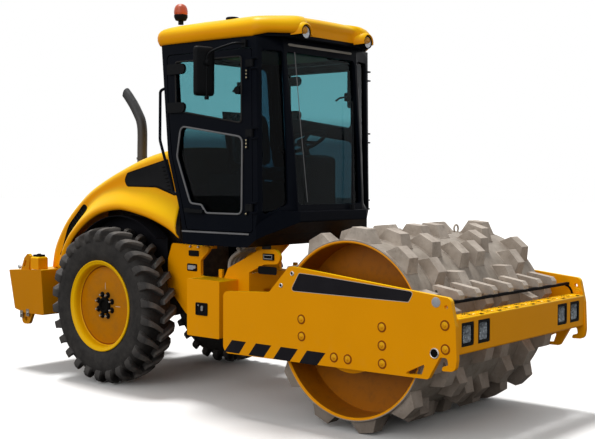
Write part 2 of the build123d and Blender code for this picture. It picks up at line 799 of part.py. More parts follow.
def rim(side):
    y_in, disc = side * tyre_in_y, side * (tyre_middle_y + 15)
    rim_in, rim_out = side * (tyre_in_y + 8), side * (tyre_out_y - 8)
    inner = rim_radius - rim_wall
    hub_bore = spindle_radius + fit_gap
    profile = [
        (rim_flange_radius, rim_in), (rim_flange_radius, rim_in + side * 10), (rim_radius, rim_in + side * 14),
        (rim_radius, rim_out - side * 14), (rim_flange_radius, rim_out - side * 10), (rim_flange_radius, rim_out),
        (inner - 4, rim_out), (inner, disc + side * 50), (rim_radius - 86, disc + side * 10), (hub_radius + 65, disc),
        (hub_radius, disc), (hub_radius - 10, disc + side * 40), (60, disc + side * 62), (0, disc + side * 62),
        (0, y_in + side * 62), (hub_bore, y_in + side * 62), (hub_bore, y_in + side * 18),
        (hub_radius + 25, y_in + side * 18), (hub_radius + 25, disc - side * 16), (hub_radius + 65, disc - side * 16),
        (rim_radius - 84, disc - side * 6), (inner, disc + side * 30), (inner, rim_in),
    ]
    return turned(profile, rear_axle_x, tyre_radius)


# Hitch: turns on the king pin and carries the front frame's trunnion
def hitch_link():
    body = along_z(pivot_x, 0, (ear_z[0] + 5, ear_z[1] - 5), 80)
    body += block((pivot_x, pivot_x + 230), (-50, 50), (hitch_axis_z - 110, hitch_axis_z + 110))
    body += block((pivot_x + 190, pivot_x + 230), (-75, 75), (hitch_axis_z - 75, hitch_axis_z + 75))
    body += along_x((pivot_x + 220, crossmember_x[1] + 20), 0, hitch_axis_z, trunnion_radius)
    body += along_x((crossmember_x[1] + 15, crossmember_x[1] + 33), 0, hitch_axis_z, trunnion_radius + 24)
    lug_x = pivot_x + steer_eye_ahead
    lug_z = (steer_z - 52, steer_z - 28)
    body += block((lug_x - 36, lug_x + 36), (-steer_eye_side, steer_eye_side), lug_z)
    for side in (-1, 1):
        body += along_z(lug_x, side * steer_eye_side, lug_z, 36)
    body -= along_z(pivot_x, 0, (ear_z[0] - 50, ear_z[1] + 50), king_pin_radius + fit_gap)
    node("hitch_link", body)


def steer_length(turn=0):
    angle = radians(turn)
    x = pivot_x + steer_eye_ahead * cos(angle) - steer_eye_side * sin(angle)
    y = steer_eye_ahead * sin(angle) + steer_eye_side * cos(angle)
    return hypot(x - steer_base_x, y - steer_base_y)


steer_bore_start = 100
steer_travel = (steer_length(-steer_limit) - steer_length(steer_limit)) / 2


def steer_barrel():
    barrel_end = steer_length(steer_limit) - 95
    barrel = along_x((75, barrel_end), 0, 0, barrel_radius) + along_x((20, 80), 0, 0, 26)
    barrel += along_z(0, 0, (-26, 26), 38)
    barrel -= along_z(0, 0, (-40, 40), steer_pin_radius + fit_gap)
    return barrel - along_x((steer_bore_start, barrel_end + 10), 0, 0, rod_radius + fit_gap)


def steer_rod():
    length = steer_length()
    rod = along_x((steer_bore_start + steer_travel + 10, length - 20), 0, 0, rod_radius)
    rod += along_z(length, 0, (-20, 20), 38)
    return rod + along_z(length, 0, (20, 30), 26)


def steering_cylinders():
    ahead = pivot_x + steer_eye_ahead - steer_base_x
    slope = degrees(atan2(steer_eye_side - steer_base_y, ahead))
    for name, side in (("left", 1), ("right", -1)):
        place = Pos(steer_base_x, side * steer_base_y, steer_z) * Rot(0, 0, side * slope)
        node(name + "_steer_barrel", place * steer_barrel())
        node(name + "_steer_rod", place * steer_rod())


# Front frame
def plate_outline():
    z = drum_axle_z
    back = crossmember_x[0] - 240
    return [
        (back, z - 266, 60), (back, z + 199, 45), (drum_axle_x - 665, z + 225, 10), (drum_axle_x - 470, z + 426, 45),
        (front_x - 50, z + 297, 40), (front_x - 10, z + 120, 60), (front_x, z - 96, 40), (front_x - 12, z - 168, 40),
        (front_x - 115, z - 173, 10), (front_x - 102, z - 144, 8), (front_x - 62, z - 131, 10),
        (front_x - 70, z - 86, 20), (front_x - 125, z - 86, 25), (front_x - 215, z - 239, 25),
    ]


def side_plates():
    hook_slot = [(-420, -228, 8), (-238, -141, 8), (-265, -216, 8)]
    slot = moved_outline(hook_slot, front_x, drum_axle_z)
    for name, side in (("left", 1), ("right", -1)):
        y = span(side, plate_inner_y, plate_outer_y)
        through = (y[0] - 5, y[1] + 5)
        body = side_plate(plate_outline(), y) - side_plate(slot, through)
        body -= along_y(front_x - 82, through, drum_axle_z + 238, tie_down_radius)
        node(name + "_side_plate", body)


def front_beam():
    low, high = drum_axle_z - 71, drum_axle_z + 169
    outline = [
        (beam_x[0], low + 5, 15), (beam_x[0], high - 15, 10), (beam_x[0] + 12, high, 8), (beam_x[1], high, 12),
        (beam_x[1], low, 15),
    ]
    body = side_plate(outline, (-plate_inner_y, plate_inner_y))
    for y in lamp_places:
        body -= lamp_block(y, beam_x[1] + 12)
    node("front_beam", body)


def lamp_block(y, front):
    return block((beam_x[1] - 40, front), (y - 77, y + 77), (drum_axle_z - 21, drum_axle_z + 135))


def rear_crossmember():
    z = (hitch_axis_z - 220, hitch_axis_z + 205)
    outline = [
        (crossmember_x[0], z[0], 20), (crossmember_x[0], z[1], 30), (crossmember_x[1], z[1], 30),
        (crossmember_x[1], z[0], 20),
    ]
    body = side_plate(outline, (-plate_inner_y, plate_inner_y))
    body += along_x((crossmember_x[0] - 12, crossmember_x[1] + 10), 0, hitch_axis_z, trunnion_radius * 2)
    bore_x = (crossmember_x[0] - 22, crossmember_x[1] + 20)
    node("rear_crossmember", body - along_x(bore_x, 0, hitch_axis_z, trunnion_radius + fit_gap))


def scraper_comb(side, bar, z):
    # A bar across the frame with a tooth in each gap between the pad columns.
    half = plate_inner_y - 5
    reach = sqrt(drum_radius ** 2 - (z - drum_axle_z) ** 2) + 14
    body = block(bar, (-half, half), (z - 20, z + 20))
    x = sorted((drum_axle_x + side * reach, bar[0] if side > 0 else bar[1]))
    for i in range(1, pad_columns):
        y = (i - pad_columns / 2) * pad_column_pitch
        body += block(x, (y - 30, y + 30), (z - 10, z + 10))
    return body


def front_teeth():
    # Thick teeth stand on a bar over the beam and reach between the pad columns to the shell.
    low, tip = scraper_bar_z + 10, drum_axle_z + 345
    near = drum_axle_x + drum_radius
    outline = [
        (near - 45, tip, 8), (scraper_bar_x - 12, tip - 31, 8), (scraper_bar_x + 10, low + 28, 8), (scraper_bar_x + 10, low),
        (near - 28, low, 8),
    ]
    teeth = []
    for i in range(1, pad_columns):
        y = (i - pad_columns / 2) * pad_column_pitch
        sides = (y - scraper_tooth_width / 2, y + scraper_tooth_width / 2)
        tooth = side_plate(outline, sides)
        teeth.append(tooth - along_y(near - 12, (sides[0] - 5, sides[1] + 5), tip - 44, 11))
    return teeth


def scrapers():
    rear = scraper_comb(-1, (crossmember_x[1], crossmember_x[1] + 20), hitch_axis_z + 150)
    node("scrapers", *front_teeth(), rear)
    half = plate_inner_y
    bar = block((scraper_bar_x - 12, scraper_bar_x + 12), (-half, half), (scraper_bar_z - 10, scraper_bar_z + 10))
    node("scraper_bar", bar)


def drum_supports():
    supports, buffers, journals = [], [], []
    edge = drum_half_width
    for side in (-1, 1):
        disc = along_y(drum_axle_x, span(side, edge - 43, edge - 18), drum_axle_z, support_disc_radius)
        for dx, dz in ((-230, -170), (230, -170), (-230, 170), (230, 170)):
            post_y = span(side, edge - 23, plate_inner_y)
            disc += along_y(drum_axle_x + dx, post_y, drum_axle_z + dz, 45)
        supports.append(disc)
        for i in range(6):
            angle = radians(60 * i + 30)
            x = drum_axle_x + buffer_ring_radius * cos(angle)
            z = drum_axle_z + buffer_ring_radius * sin(angle)
            buffers.append(along_y(x, span(side, edge - 128, edge - 43), z, buffer_radius))
        flange = along_y(drum_axle_x, span(side, edge - 153, edge - 128), drum_axle_z, buffer_ring_radius + 60)
        flange += along_y(drum_axle_x, span(side, bulkhead_y - 60, edge - 143), drum_axle_z, journal_radius)
        journals.append(flange)
    node("drum_supports", *supports)
    node("drum_buffers", *buffers)
    node("drum_journals", *journals)


# Drum
def drum_shell():
    inner = drum_radius - drum_shell_wall
    bore = journal_radius + fit_gap
    half = [
        (drum_radius, 0), (drum_radius, drum_half_width), (inner + 8, drum_half_width), (inner, drum_half_width - 12),
        (inner, bulkhead_y), (150, bulkhead_y), (150, bulkhead_y + 40), (bore, bulkhead_y + 40),
        (bore, bulkhead_y - 70), (0, bulkhead_y - 70), (0, bulkhead_y - 90), (170, bulkhead_y - 90),
        (170, bulkhead_y - bulkhead_wall), (inner, bulkhead_y - bulkhead_wall), (inner, 0),
    ]
    right = [(r, -y) for r, y in half]
    body = turned(half, drum_axle_x, drum_axle_z) + turned(right, drum_axle_x, drum_axle_z)
    node("drum_shell", body)


def pad_form():
    # One pad over the drum's top: a tapered block cut to sit on the round shell.
    low = drum_radius - 14
    base = Pos(0, 0, low) * Rectangle(pad_base_length, pad_base_width)
    tip = Pos(0, 0, pad_tip_radius) * Rectangle(pad_tip_length, pad_tip_width)
    body = loft([base.face(), tip.face()])
    return body - along_y(0, (-pad_base_width, pad_base_width), 0, drum_radius + seat_gap)


def drum_pads():
    # Neighbouring columns are a third of the pitch apart, so the rows make a V.
    pitch = 360 / pads_per_column
    pad = pad_form()
    pads = []
    for column in range(pad_columns):
        offset = column - (pad_columns - 1) / 2
        y = offset * pad_column_pitch
        step = int(pad_columns / 2 - 0.5 - abs(offset))
        for i in range(pads_per_column):
            angle = 180 - pitch / 3 + pitch * (i + step / 3)
            pads.append(Pos(drum_axle_x, y, drum_axle_z) * Rot(0, angle, 0) * pad)
    node("drum_pads", *pads)


def build_rear():
    rails()
    hitch_bulkhead()
    frame_plates()
    counterweight()
    tail_lamps()
    rear_axle()
    engine()
    node("arch_liners", arch_liner(-1), arch_liner(1))
    node("battery_boxes", battery_box(-1), battery_box(1))
    cab_mounts()
    hoses()
    hood()
    exhaust()
    for name, side in (("left", 1), ("right", -1)):
        node(name + "_tire", tyre(side))
        node(name + "_rim", rim(side))


def build_cab():
    cab_base()
    cab_frame()
    cab_glass()
    for name, side in (("left", 1), ("right", -1)):
        door(name, side)
        mirror_piece(name + "_mirror", side)
    roof()
    roof_lamps()
    beacon()
    cab_node("handrails", handrail(-1), handrail(1))
    wiper()
    seat()
    cab_node("console", console())
    cab_node("steering_wheel", steering_wheel())


def build_front():
    hitch_link()
    steering_cylinders()
    side_plates()
    front_beam()
    node("headlamps", *[lamp_block(y, beam_x[1] - 4) for y in lamp_places])
    rear_crossmember()
    scrapers()
    drum_supports()
    drum_shell()
    drum_pads()


build_rear()
build_cab()
build_front()
os.makedirs("parts", exist_ok=True)
for name, shape in parts.items():
    export_step(shape, "parts/" + name + ".step")
    print(name, round(shape.volume / 1e6, 3), "litres")
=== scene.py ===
import math
import random

import bmesh
import bpy
from mathutils import Matrix, Vector
from mathutils.bvhtree import BVHTree


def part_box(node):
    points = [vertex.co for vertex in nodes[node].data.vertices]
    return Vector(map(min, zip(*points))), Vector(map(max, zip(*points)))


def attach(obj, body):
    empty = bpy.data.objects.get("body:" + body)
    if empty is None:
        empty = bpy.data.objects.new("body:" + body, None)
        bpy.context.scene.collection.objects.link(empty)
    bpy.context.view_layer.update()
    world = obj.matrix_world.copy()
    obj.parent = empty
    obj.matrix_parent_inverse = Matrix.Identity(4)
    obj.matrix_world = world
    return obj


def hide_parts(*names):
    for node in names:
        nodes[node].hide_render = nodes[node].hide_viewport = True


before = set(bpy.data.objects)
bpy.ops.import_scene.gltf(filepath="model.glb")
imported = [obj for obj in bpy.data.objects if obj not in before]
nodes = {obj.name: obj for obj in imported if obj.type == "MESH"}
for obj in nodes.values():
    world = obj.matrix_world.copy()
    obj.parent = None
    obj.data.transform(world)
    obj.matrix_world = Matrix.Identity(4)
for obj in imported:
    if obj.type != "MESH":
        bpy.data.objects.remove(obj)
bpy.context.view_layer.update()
scene = bpy.context.scene
random.seed(7)

# metres; x forward, y to the left, z up
sides = {"left": 1, "right": -1}
axleX, axleZ, tyreMid = -1.090, 0.670, 0.705
drumX, drumZ, plateFace = 1.601, 0.716, 0.930

view = {"place": (6.146, -6.644, 1.789), "lens": 64.59, "yaw": 39.1666, "pitch": 1.9102, "roll": 0.2419,
        "shift": (-0.05205, -0.01415)}


def addCamera():
    yaw, pitch, roll = (math.radians(view[k]) for k in ("yaw", "pitch", "roll"))
    ahead = Vector((-math.sin(yaw) * math.cos(pitch), math.cos(yaw) * math.cos(pitch), -math.sin(pitch)))
    side = ahead.cross(Vector((0, 0, 1))).normalized()
    up = side.cross(ahead)
    right = side * math.cos(roll) + up * math.sin(roll)
    over = up * math.cos(roll) - side * math.sin(roll)
    lens = bpy.data.cameras.new("viewCamera")
    lens.lens, lens.sensor_width, lens.clip_end = view["lens"], 36, 200
    lens.shift_x, lens.shift_y = view["shift"]
    camera = bpy.data.objects.new("viewCamera", lens)
    camera.matrix_world = Matrix.Translation(view["place"]) @ Matrix((right, over, -ahead)).transposed().to_4x4()
    scene.collection.objects.link(camera)
    scene.camera = camera


# each sun has its power, the way it shines and its width in degrees
light = {"sky": 0.50, "suns": {"softSun": (2.95, (0.35, -0.15, -1.0), 12), "sideFill": (1.05, (-0.12, 1.0, -0.38), 55)},
         "floor": (0.88, 0.875, 0.865), "underside": (0.10, 0.095, 0.09)}


def addLight():
    # the sky is plain white to the camera, to mirrors and through glass, and grey as a light
    world = bpy.data.worlds.new("paleSky")
    scene.world = world
    world.use_nodes = True
    tree = world.node_tree
    path, level = tree.nodes.new("ShaderNodeLightPath"), tree.nodes.new("ShaderNodeMapRange")
    seen = path.outputs["Is Camera Ray"]
    for ray in ("Is Transmission Ray", "Is Glossy Ray"):
        most = tree.nodes.new("ShaderNodeMath")
        most.operation = "MAXIMUM"
        tree.links.new(seen, most.inputs[0])
        tree.links.new(path.outputs[ray], most.inputs[1])
        seen = most.outputs[0]
    level.inputs["To Min"].default_value, level.inputs["To Max"].default_value = light["sky"], 1.0
    tree.links.new(seen, level.inputs["Value"])
    tree.links.new(level.outputs[0], tree.nodes["Background"].inputs["Strength"])
    tree.nodes["Background"].inputs["Color"].default_value = (1, 1, 1, 1)
    for name, (power, toward, soft) in light["suns"].items():
        lamp = bpy.data.lights.new(name, "SUN")
        lamp.energy, lamp.angle = power, math.radians(soft)
        sun = bpy.data.objects.new(name, lamp)
        sun.rotation_euler = Vector(toward).to_track_quat("-Z", "Y").to_euler()
        scene.collection.objects.link(sun)


def addFloor():
    data = bpy.data.meshes.new("paleFloor")
    data.from_pydata([(-60, -60, 0), (60, -60, 0), (60, 60, 0), (-60, 60, 0)], [], [(0, 1, 2, 3)])
    floor = bpy.data.objects.new("paleFloor", data)
    scene.collection.objects.link(floor)
    finish = bpy.data.materials.new("paleFloor")
    finish.use_nodes = True
    tree = finish.node_tree
    shader = tree.nodes["Principled BSDF"]
    # pale to the camera, and darker as a source of light from below
    path, shade = tree.nodes.new("ShaderNodeLightPath"), tree.nodes.new("ShaderNodeMix")
    shade.data_type = "RGBA"
    shade.inputs[6].default_value, shade.inputs[7].default_value = (*light["underside"], 1), (*light["floor"], 1)
    tree.links.new(path.outputs["Is Camera Ray"], shade.inputs[0])
    tree.links.new(shade.outputs[2], shader.inputs["Base Color"])
    shader.inputs["Roughness"].default_value = 0.9
    shader.inputs["Specular IOR Level"].default_value = 0.1
    data.materials.append(finish)


scene.view_settings.view_transform = "Standard"
addCamera()
addLight()
addFloor()
print("camera, light and floor set")


class Wire:
    # one output of a shader node; sums on it become Math nodes
    def __init__(self, finish, socket):
        self.finish, self.socket = finish, socket

    def sum(self, operation, first, second):
        return self.finish.add("ShaderNodeMath", {"operation": operation}, {0: first, 1: second})


operators = {"add": "ADD", "sub": "SUBTRACT", "mul": "MULTIPLY", "truediv": "DIVIDE", "pow": "POWER", "gt": "GREATER_THAN"}
for word, operation in operators.items():
    setattr(Wire, f"__{word}__", lambda self, other, operation=operation: self.sum(operation, self, other))
    setattr(Wire, f"__r{word}__", lambda self, other, operation=operation: self.sum(operation, other, self))


class Finish:
    # a material with its nodes; constants are set on the shader's own sockets
    def __init__(self, name, constants):
        self.material = bpy.data.materials.new(name)
        self.material.use_nodes = True
        self.tree = self.material.node_tree
        self.shader = self.tree.nodes["Principled BSDF"]
        for key, value in constants.items():
            self.shader.inputs[key].default_value = value
        coords = self.tree.nodes.new("ShaderNodeTexCoord")
        self.place, self.normal = Wire(self, coords.outputs["Object"]), Wire(self, coords.outputs["Normal"])

    def add(self, kind, settings=None, sockets=None, output=0):
        node = self.tree.nodes.new(kind)
        for key, value in (settings or {}).items():
            if key == "stops":
                ramp = node.color_ramp
                while len(ramp.elements) < len(value):
                    ramp.elements.new(0.5)
                for stop, (at, shade) in zip(ramp.elements, value):
                    stop.position = at
                    stop.color = (*shade, 1) if isinstance(shade, tuple) else (shade, shade, shade, 1)
            else:
                setattr(node, key, value)
        for key, value in (sockets or {}).items():
            self.feed(node.inputs[key], value)
        return Wire(self, node.outputs[output])

    def feed(self, socket, value):
        if isinstance(value, Wire):
            self.tree.links.new(value.socket, socket)
        else:
            socket.default_value = (*value, 1) if socket.type == "RGBA" else value

    def grain(self, scale, detail=4, rough=0.55, stretch=None):
        place = self.place
        if stretch:
            place = self.add("ShaderNodeVectorMath", {"operation": "MULTIPLY"}, {0: place, 1: stretch})
        return self.add("ShaderNodeTexNoise", {}, {"Vector": place, "Scale": scale, "Detail": detail, "Roughness": rough})

    def ramp(self, value, *stops):
        return self.add("ShaderNodeValToRGB", {"stops": stops}, {0: value})

    def patches(self, scale, detail, rough, low, high, most=1.0, stretch=None):
        # noise cut down to soft-edged patches
        return self.ramp(self.grain(scale, detail, rough, stretch), (low, 0.0), (high, most))

    def mix(self, factor, first, second):
        return self.add("ShaderNodeMix", {"data_type": "RGBA"}, {0: factor, 6: first, 7: second}, 2)

    def part(self, axis, source=None):
        return self.add("ShaderNodeSeparateXYZ", {}, {0: source or self.place}, axis)

    def reach(self, x, z):
        # distance from an axle
        x, z = self.part(0) - x, self.part(2) - z
        return (x * x + z * z) ** 0.5

    def wave(self, direction, scale, distortion):
        return self.add("ShaderNodeTexWave", {"bands_direction": direction},
                        {"Vector": self.place, "Scale": scale, "Distortion": distortion})

    def bump(self, height, strength, distance=0.001):
        self.feed(self.shader.inputs["Normal"],
                  self.add("ShaderNodeBump", {}, {"Strength": strength, "Distance": distance, "Height": height}))

    def done(self, colour, roughness):
        self.feed(self.shader.inputs["Base Color"], colour)
        self.feed(self.shader.inputs["Roughness"], roughness)
        return self.material


def times(tone, by, plus=0.0):
    return tuple(c * by + plus for c in tone)


paint = {"yellow": (0.93, 0.365, 0.0), "dust": (0.52, 0.37, 0.17)}


def yellowPaint(name="yellowPaint", tone=paint["yellow"]):
    # satin coachwork paint, painted lighter and yellower on surfaces that face up as painted sunlight: faint clouds,
    # dust low down and on ledges, streaks and fine scratches
    f = Finish(name, {"Specular IOR Level": 0.09})
    up = f.part(2, f.normal)
    # painted sunlight: a lighter, yellower tone is blended in as the surface faces up
    paintedSunlitTone = (min(tone[0] * 1.02, 0.94), tone[1] * 1.55, tone[2] + 0.002)
    colour = f.mix(f.ramp(up, (0.03, 0.0), (0.55, 1.0)), tone, paintedSunlitTone)
    colour = f.mix(f.patches(1.7, 3, 0.55, 0.3, 0.75, 0.5), colour, times(tone, 0.90))
    low = f.ramp(f.part(2), (0.15, 1.0), (0.75, 0.0))
    dust = f.patches(14, 8, 0.7, 0.52, 0.74) * (low * 0.22 + f.ramp(up, (0.7, 0.0), (1.0, 0.16)) * 0.16)
    colour = f.mix(dust, colour, paint["dust"])
    streak = f.patches(60, 3, 0.6, 0.62, 0.75, stretch=(1, 1, 0.06))
    colour = f.mix(streak * low * 0.10, colour, (0.30, 0.17, 0.03))
    scratch = f.patches(180, 2, 0.5, 0.69, 0.73, stretch=(0.03, 1, 1))
    f.bump(f.grain(380, 2) * 0.25 + scratch * 0.4, 0.10, 0.0006)
    return f.done(colour, dust * 0.5 + f.grain(22, 5) * 0.14 + 0.30)


def blackPaint():
    f = Finish("blackPaint", {"Specular IOR Level": 0.03})
    dust = f.patches(9, 8, 0.7, 0.5, 0.8) * f.ramp(f.part(2, f.normal), (0.6, 0.15), (1.0, 0.9))
    f.bump(f.grain(420, 2), 0.10, 0.0006)
    colour = f.mix(dust * 0.10, (0.0030, 0.0042, 0.0075), (0.10, 0.085, 0.065))
    return f.done(colour, dust * 0.4 + f.grain(18, 4) * 0.15 + 0.30)


def padSteel():
    # pale, dusty cast steel with smudges, a few rusty pits, scrapes, and painted shade darkening the lowest pads
    f = Finish("padSteel", {"Specular IOR Level": 0.25})
    colour = f.ramp(f.grain(6, 6, 0.65), (0.35, (0.34, 0.285, 0.235)), (0.65, (0.50, 0.435, 0.370)))
    smudge = f.patches(16, 8, 0.75, 0.52, 0.70)
    colour = f.mix(smudge * 0.5, colour, (0.185, 0.150, 0.122))
    pit = f.patches(70, 5, 0.7, 0.68, 0.74) * f.patches(4, 2, 0.55, 0.5, 0.6)
    colour = f.mix(pit * 0.8, colour, (0.16, 0.08, 0.045))
    scrape = f.patches(40, 3, 0.6, 0.63, 0.72, stretch=(1, 0.08, 1))
    colour = f.mix(scrape * 0.25, colour, (0.50, 0.47, 0.43))
    # painted shade: the pads are darkened towards the bottom of the drum
    paintedShadeLow = f.ramp(f.part(2) + f.grain(5, 4) * 0.12, (0.20, 0.62), (0.62, 0.0))
    colour = f.mix(paintedShadeLow, colour, (0.11, 0.082, 0.064))
    f.bump(f.grain(90, 6, 0.7) + smudge * 0.4 - pit, 0.35, 0.002)
    return f.done(colour, smudge * 0.15 + 0.62)


def drumSteel():
    # the same pale steel outside the shell, its yellow inside darkened to brown as painted shade, and clean yellow on
    # its two ends
    f = Finish("drumSteel", {"Specular IOR Level": 0.3})
    radius = f.reach(drumX, drumZ)
    outside = radius > 0.6225
    smudge = f.patches(14, 8, 0.75, 0.5, 0.7)
    steel = f.ramp(f.grain(6, 6, 0.65), (0.35, (0.26, 0.22, 0.18)), (0.65, (0.36, 0.315, 0.265)))
    steel = f.mix(smudge * 0.55, steel, (0.15, 0.12, 0.10))
    # painted shade: the yellow inside the shell is darkened to brown, with smudges
    inside = f.mix(smudge * 0.5, (0.36, 0.115, 0.0), (0.14, 0.060, 0.008))
    inside = f.mix(radius > 0.606, inside, paint["yellow"])
    f.bump(f.grain(80, 6, 0.7), 0.25, 0.0015)
    return f.done(f.mix(outside, inside, steel), outside * 0.22 + 0.42)


def rimPaint():
    # the dish is painted a deeper, darker yellow as painted shade in its recess, darker still towards the hub, with
    # patches of dirt; the barrel is painted a lighter yellow as painted sunlight
    f = Finish("rimPaint", {"Specular IOR Level": 0.10})
    radius = f.reach(axleX, axleZ)
    dirt = f.patches(9, 7, 0.7, 0.45, 0.75)
    # painted shade: the dish's yellow is darker than the barrel's
    dish = f.mix(dirt * 0.45, (0.52, 0.185, 0.0), (0.28, 0.13, 0.02))
    dish = f.mix(f.ramp(radius, (0.10, 0.5), (0.16, 0.0)), dish, (0.16, 0.08, 0.012))
    f.bump(f.grain(260, 3), 0.12, 0.0008)
    # painted sunlight: the barrel takes a lighter, yellower tone than the paint
    return f.done(f.mix(f.ramp(radius, (0.333, 0.0), (0.346, 1.0)), dish, (0.94, 0.52, 0.0)), dirt * 0.2 + 0.38)


def tyreRubber(name, tone, dusty):
    # the tread's crown and the lugs' tops are dustier than the sidewall
    f = Finish(name, {"Specular IOR Level": 0.10})
    radius = f.reach(axleX, axleZ)
    worn = f.ramp((radius - 0.56) / 0.11, (0.0, 0.30), (0.30, 0.35), (0.70, 0.10), (0.86, 1.0))
    cloud = f.ramp(f.grain(12, 8, 0.7), (0.35, 0.35), (0.7, 1.0))
    colour = f.mix(cloud * worn * dusty, tone, (0.165, 0.150, 0.136))
    colour = f.mix(f.patches(5, 6, 0.6, 0.5, 0.8, 0.25), colour, (0.030, 0.027, 0.025))
    ring = f.ramp(f.add("ShaderNodeMath", {"operation": "SINE"}, {0: radius * 420}), (0.85, 0.0), (1.0, 1.0))
    wall = f.ramp(radius, (0.40, 0.0), (0.41, 1.0), (0.47, 1.0), (0.48, 0.0))
    f.bump(f.grain(190, 4, 0.6) * 0.6 + ring * wall * 0.5, 0.3, 0.0012)
    return f.done(colour, cloud * worn * 0.18 + 0.58)


def rubber(name, tone, dusty, rough=0.7):
    f = Finish(name, {"Specular IOR Level": 0.12})
    cloud, fine = f.patches(11, 7, 0.7, 0.42, 0.72), f.patches(70, 4, 0.7, 0.45, 0.7)
    f.bump(f.grain(260, 3) + fine * 0.5, 0.22, 0.001)
    return f.done(f.mix(cloud * dusty + fine * dusty * 0.4, tone, (0.20, 0.17, 0.14)), cloud * 0.12 + rough)


def plastic(name, tone, rough=0.5):
    # leather-grained moulding with a faint haze
    f = Finish(name, {"Specular IOR Level": 0.06})
    leather = f.add("ShaderNodeTexVoronoi", {"feature": "DISTANCE_TO_EDGE"}, {"Vector": f.place, "Scale": 380})
    haze = f.patches(7, 6, 0.6, 0.45, 0.8)
    f.bump(f.ramp(leather, (0.0, 0.0), (0.12, 1.0)), 0.18, 0.0006)
    return f.done(f.mix(haze * 0.3, tone, times(tone, 1.6, 0.005)), haze * 0.12 + rough)


def metal(name, tone, rough, brushed=0.0):
    f = Finish(name, {"Metallic": 1.0})
    line = f.grain(90, 4, 0.6, (1, 1, 0.05))
    f.bump(line, 0.05 + brushed, 0.0005)
    return f.done(f.mix(f.patches(12, 6, 0.55, 0.4, 0.8, 0.6), tone, times(tone, 0.6)), line * 0.2 + rough)


def castIron():
    f = Finish("castIron", {"Specular IOR Level": 0.3})
    oil = f.patches(8, 7, 0.7, 0.45, 0.68)
    f.bump(f.grain(60, 6, 0.75), 0.5, 0.002)
    return f.done(f.mix(oil, (0.030, 0.028, 0.027), (0.105, 0.085, 0.065)), oil * 0.3 + 0.5)


def exhaustSteel():
    # browned by heat near the hood, sooty towards the outlet
    f = Finish("exhaustSteel", {"Specular IOR Level": 0.35})
    heat = f.ramp(f.part(2) - 2.0, (0.0, (0.050, 0.044, 0.040)), (0.35, (0.022, 0.022, 0.023)),
                  (0.6, (0.012, 0.0125, 0.014)))
    soot = f.patches(24, 7, 0.7, 0.5, 0.75)
    f.bump(f.grain(150, 5, 0.7), 0.25, 0.001)
    return f.done(f.mix(soot * 0.30, heat, (0.050, 0.045, 0.041)), soot * 0.2 + 0.42)


def glass(name, tint, haze=0.0, low=None):
    # tinted glass that lets light through to what is behind it; low is a darker colour painted on its lower half as
    # painted shade of the dark cab behind it
    f = Finish(name, {"Transmission Weight": 1.0, "IOR": 1.14, "Specular IOR Level": 0.5})
    smear = f.patches(5, 5, 0.6, 0.5, 0.85)
    colour = f.mix(smear * 0.2, tint, times(tint, 0.9, 0.04))
    # painted shade: the lower half is darkened
    if low:
        colour = f.mix(f.ramp(f.part(2) - 1.7, (0.36, 0.0), (0.56, 1.0)), low, colour)
    f.done(colour, smear * 0.01 + haze)
    path = f.tree.nodes.new("ShaderNodeLightPath")
    shadow, bounce = (Wire(f, path.outputs[ray]) for ray in ("Is Shadow Ray", "Is Diffuse Ray"))
    clear = f.add("ShaderNodeBsdfTransparent", {}, {"Color": tuple(c ** 0.5 for c in tint)})
    both = f.add("ShaderNodeMixShader", {}, {0: shadow.sum("MAXIMUM", shadow, bounce),
                                             1: Wire(f, f.shader.outputs[0]), 2: clear})
    f.feed(f.tree.nodes["Material Output"].inputs["Surface"], both)
    return f.material


def ribbedLens(name, tone, rough):
    f = Finish(name, {"Coat Weight": 0.15})
    f.bump(f.wave("Z", 60, 0.0), 0.35, 0.002)
    return f.done(f.mix(f.grain(16, 4) * 0.3, tone, times(tone, 0.7)), f.grain(20, 4) * 0.1 + rough)


def reflector(name, bright, dull):
    # the reflector's shine is painted into its colour as painted reflection: light in the middle of each facet and dull
    # towards its edge
    f = Finish(name, {"Metallic": 0.15, "Specular IOR Level": 0.6})
    facet = f.add("ShaderNodeTexVoronoi", {"feature": "F1"}, {"Vector": f.place, "Scale": 46})
    f.bump(facet, 0.7, 0.006)
    return f.done(f.mix(f.ramp(facet, (0.1, 0.0), (0.8, 0.8)), bright, dull), facet * 0.15 + 0.12)


def cloth(name, tone, thread):
    # woven seat cloth: crossed ribs, pills and faded patches
    f = Finish(name, {"Sheen Weight": 0.35, "Sheen Roughness": 0.4, "Specular IOR Level": 0.2})
    warp, weft, run = (f.wave(direction, thread, 0.6) for direction in "XZY")
    weave = warp * run + weft * run
    fade = f.patches(5, 5, 0.55, 0.35, 0.75)
    colour = f.mix(weave * 0.35, tone, times(tone, 1.9, 0.01))
    colour = f.mix(fade * 0.25, colour, times(tone, 1.5, 0.02))
    f.bump(weave + f.grain(500, 2) * 0.3, 0.4, 0.001)
    return f.done(colour, fade * 0.06 + 0.85)


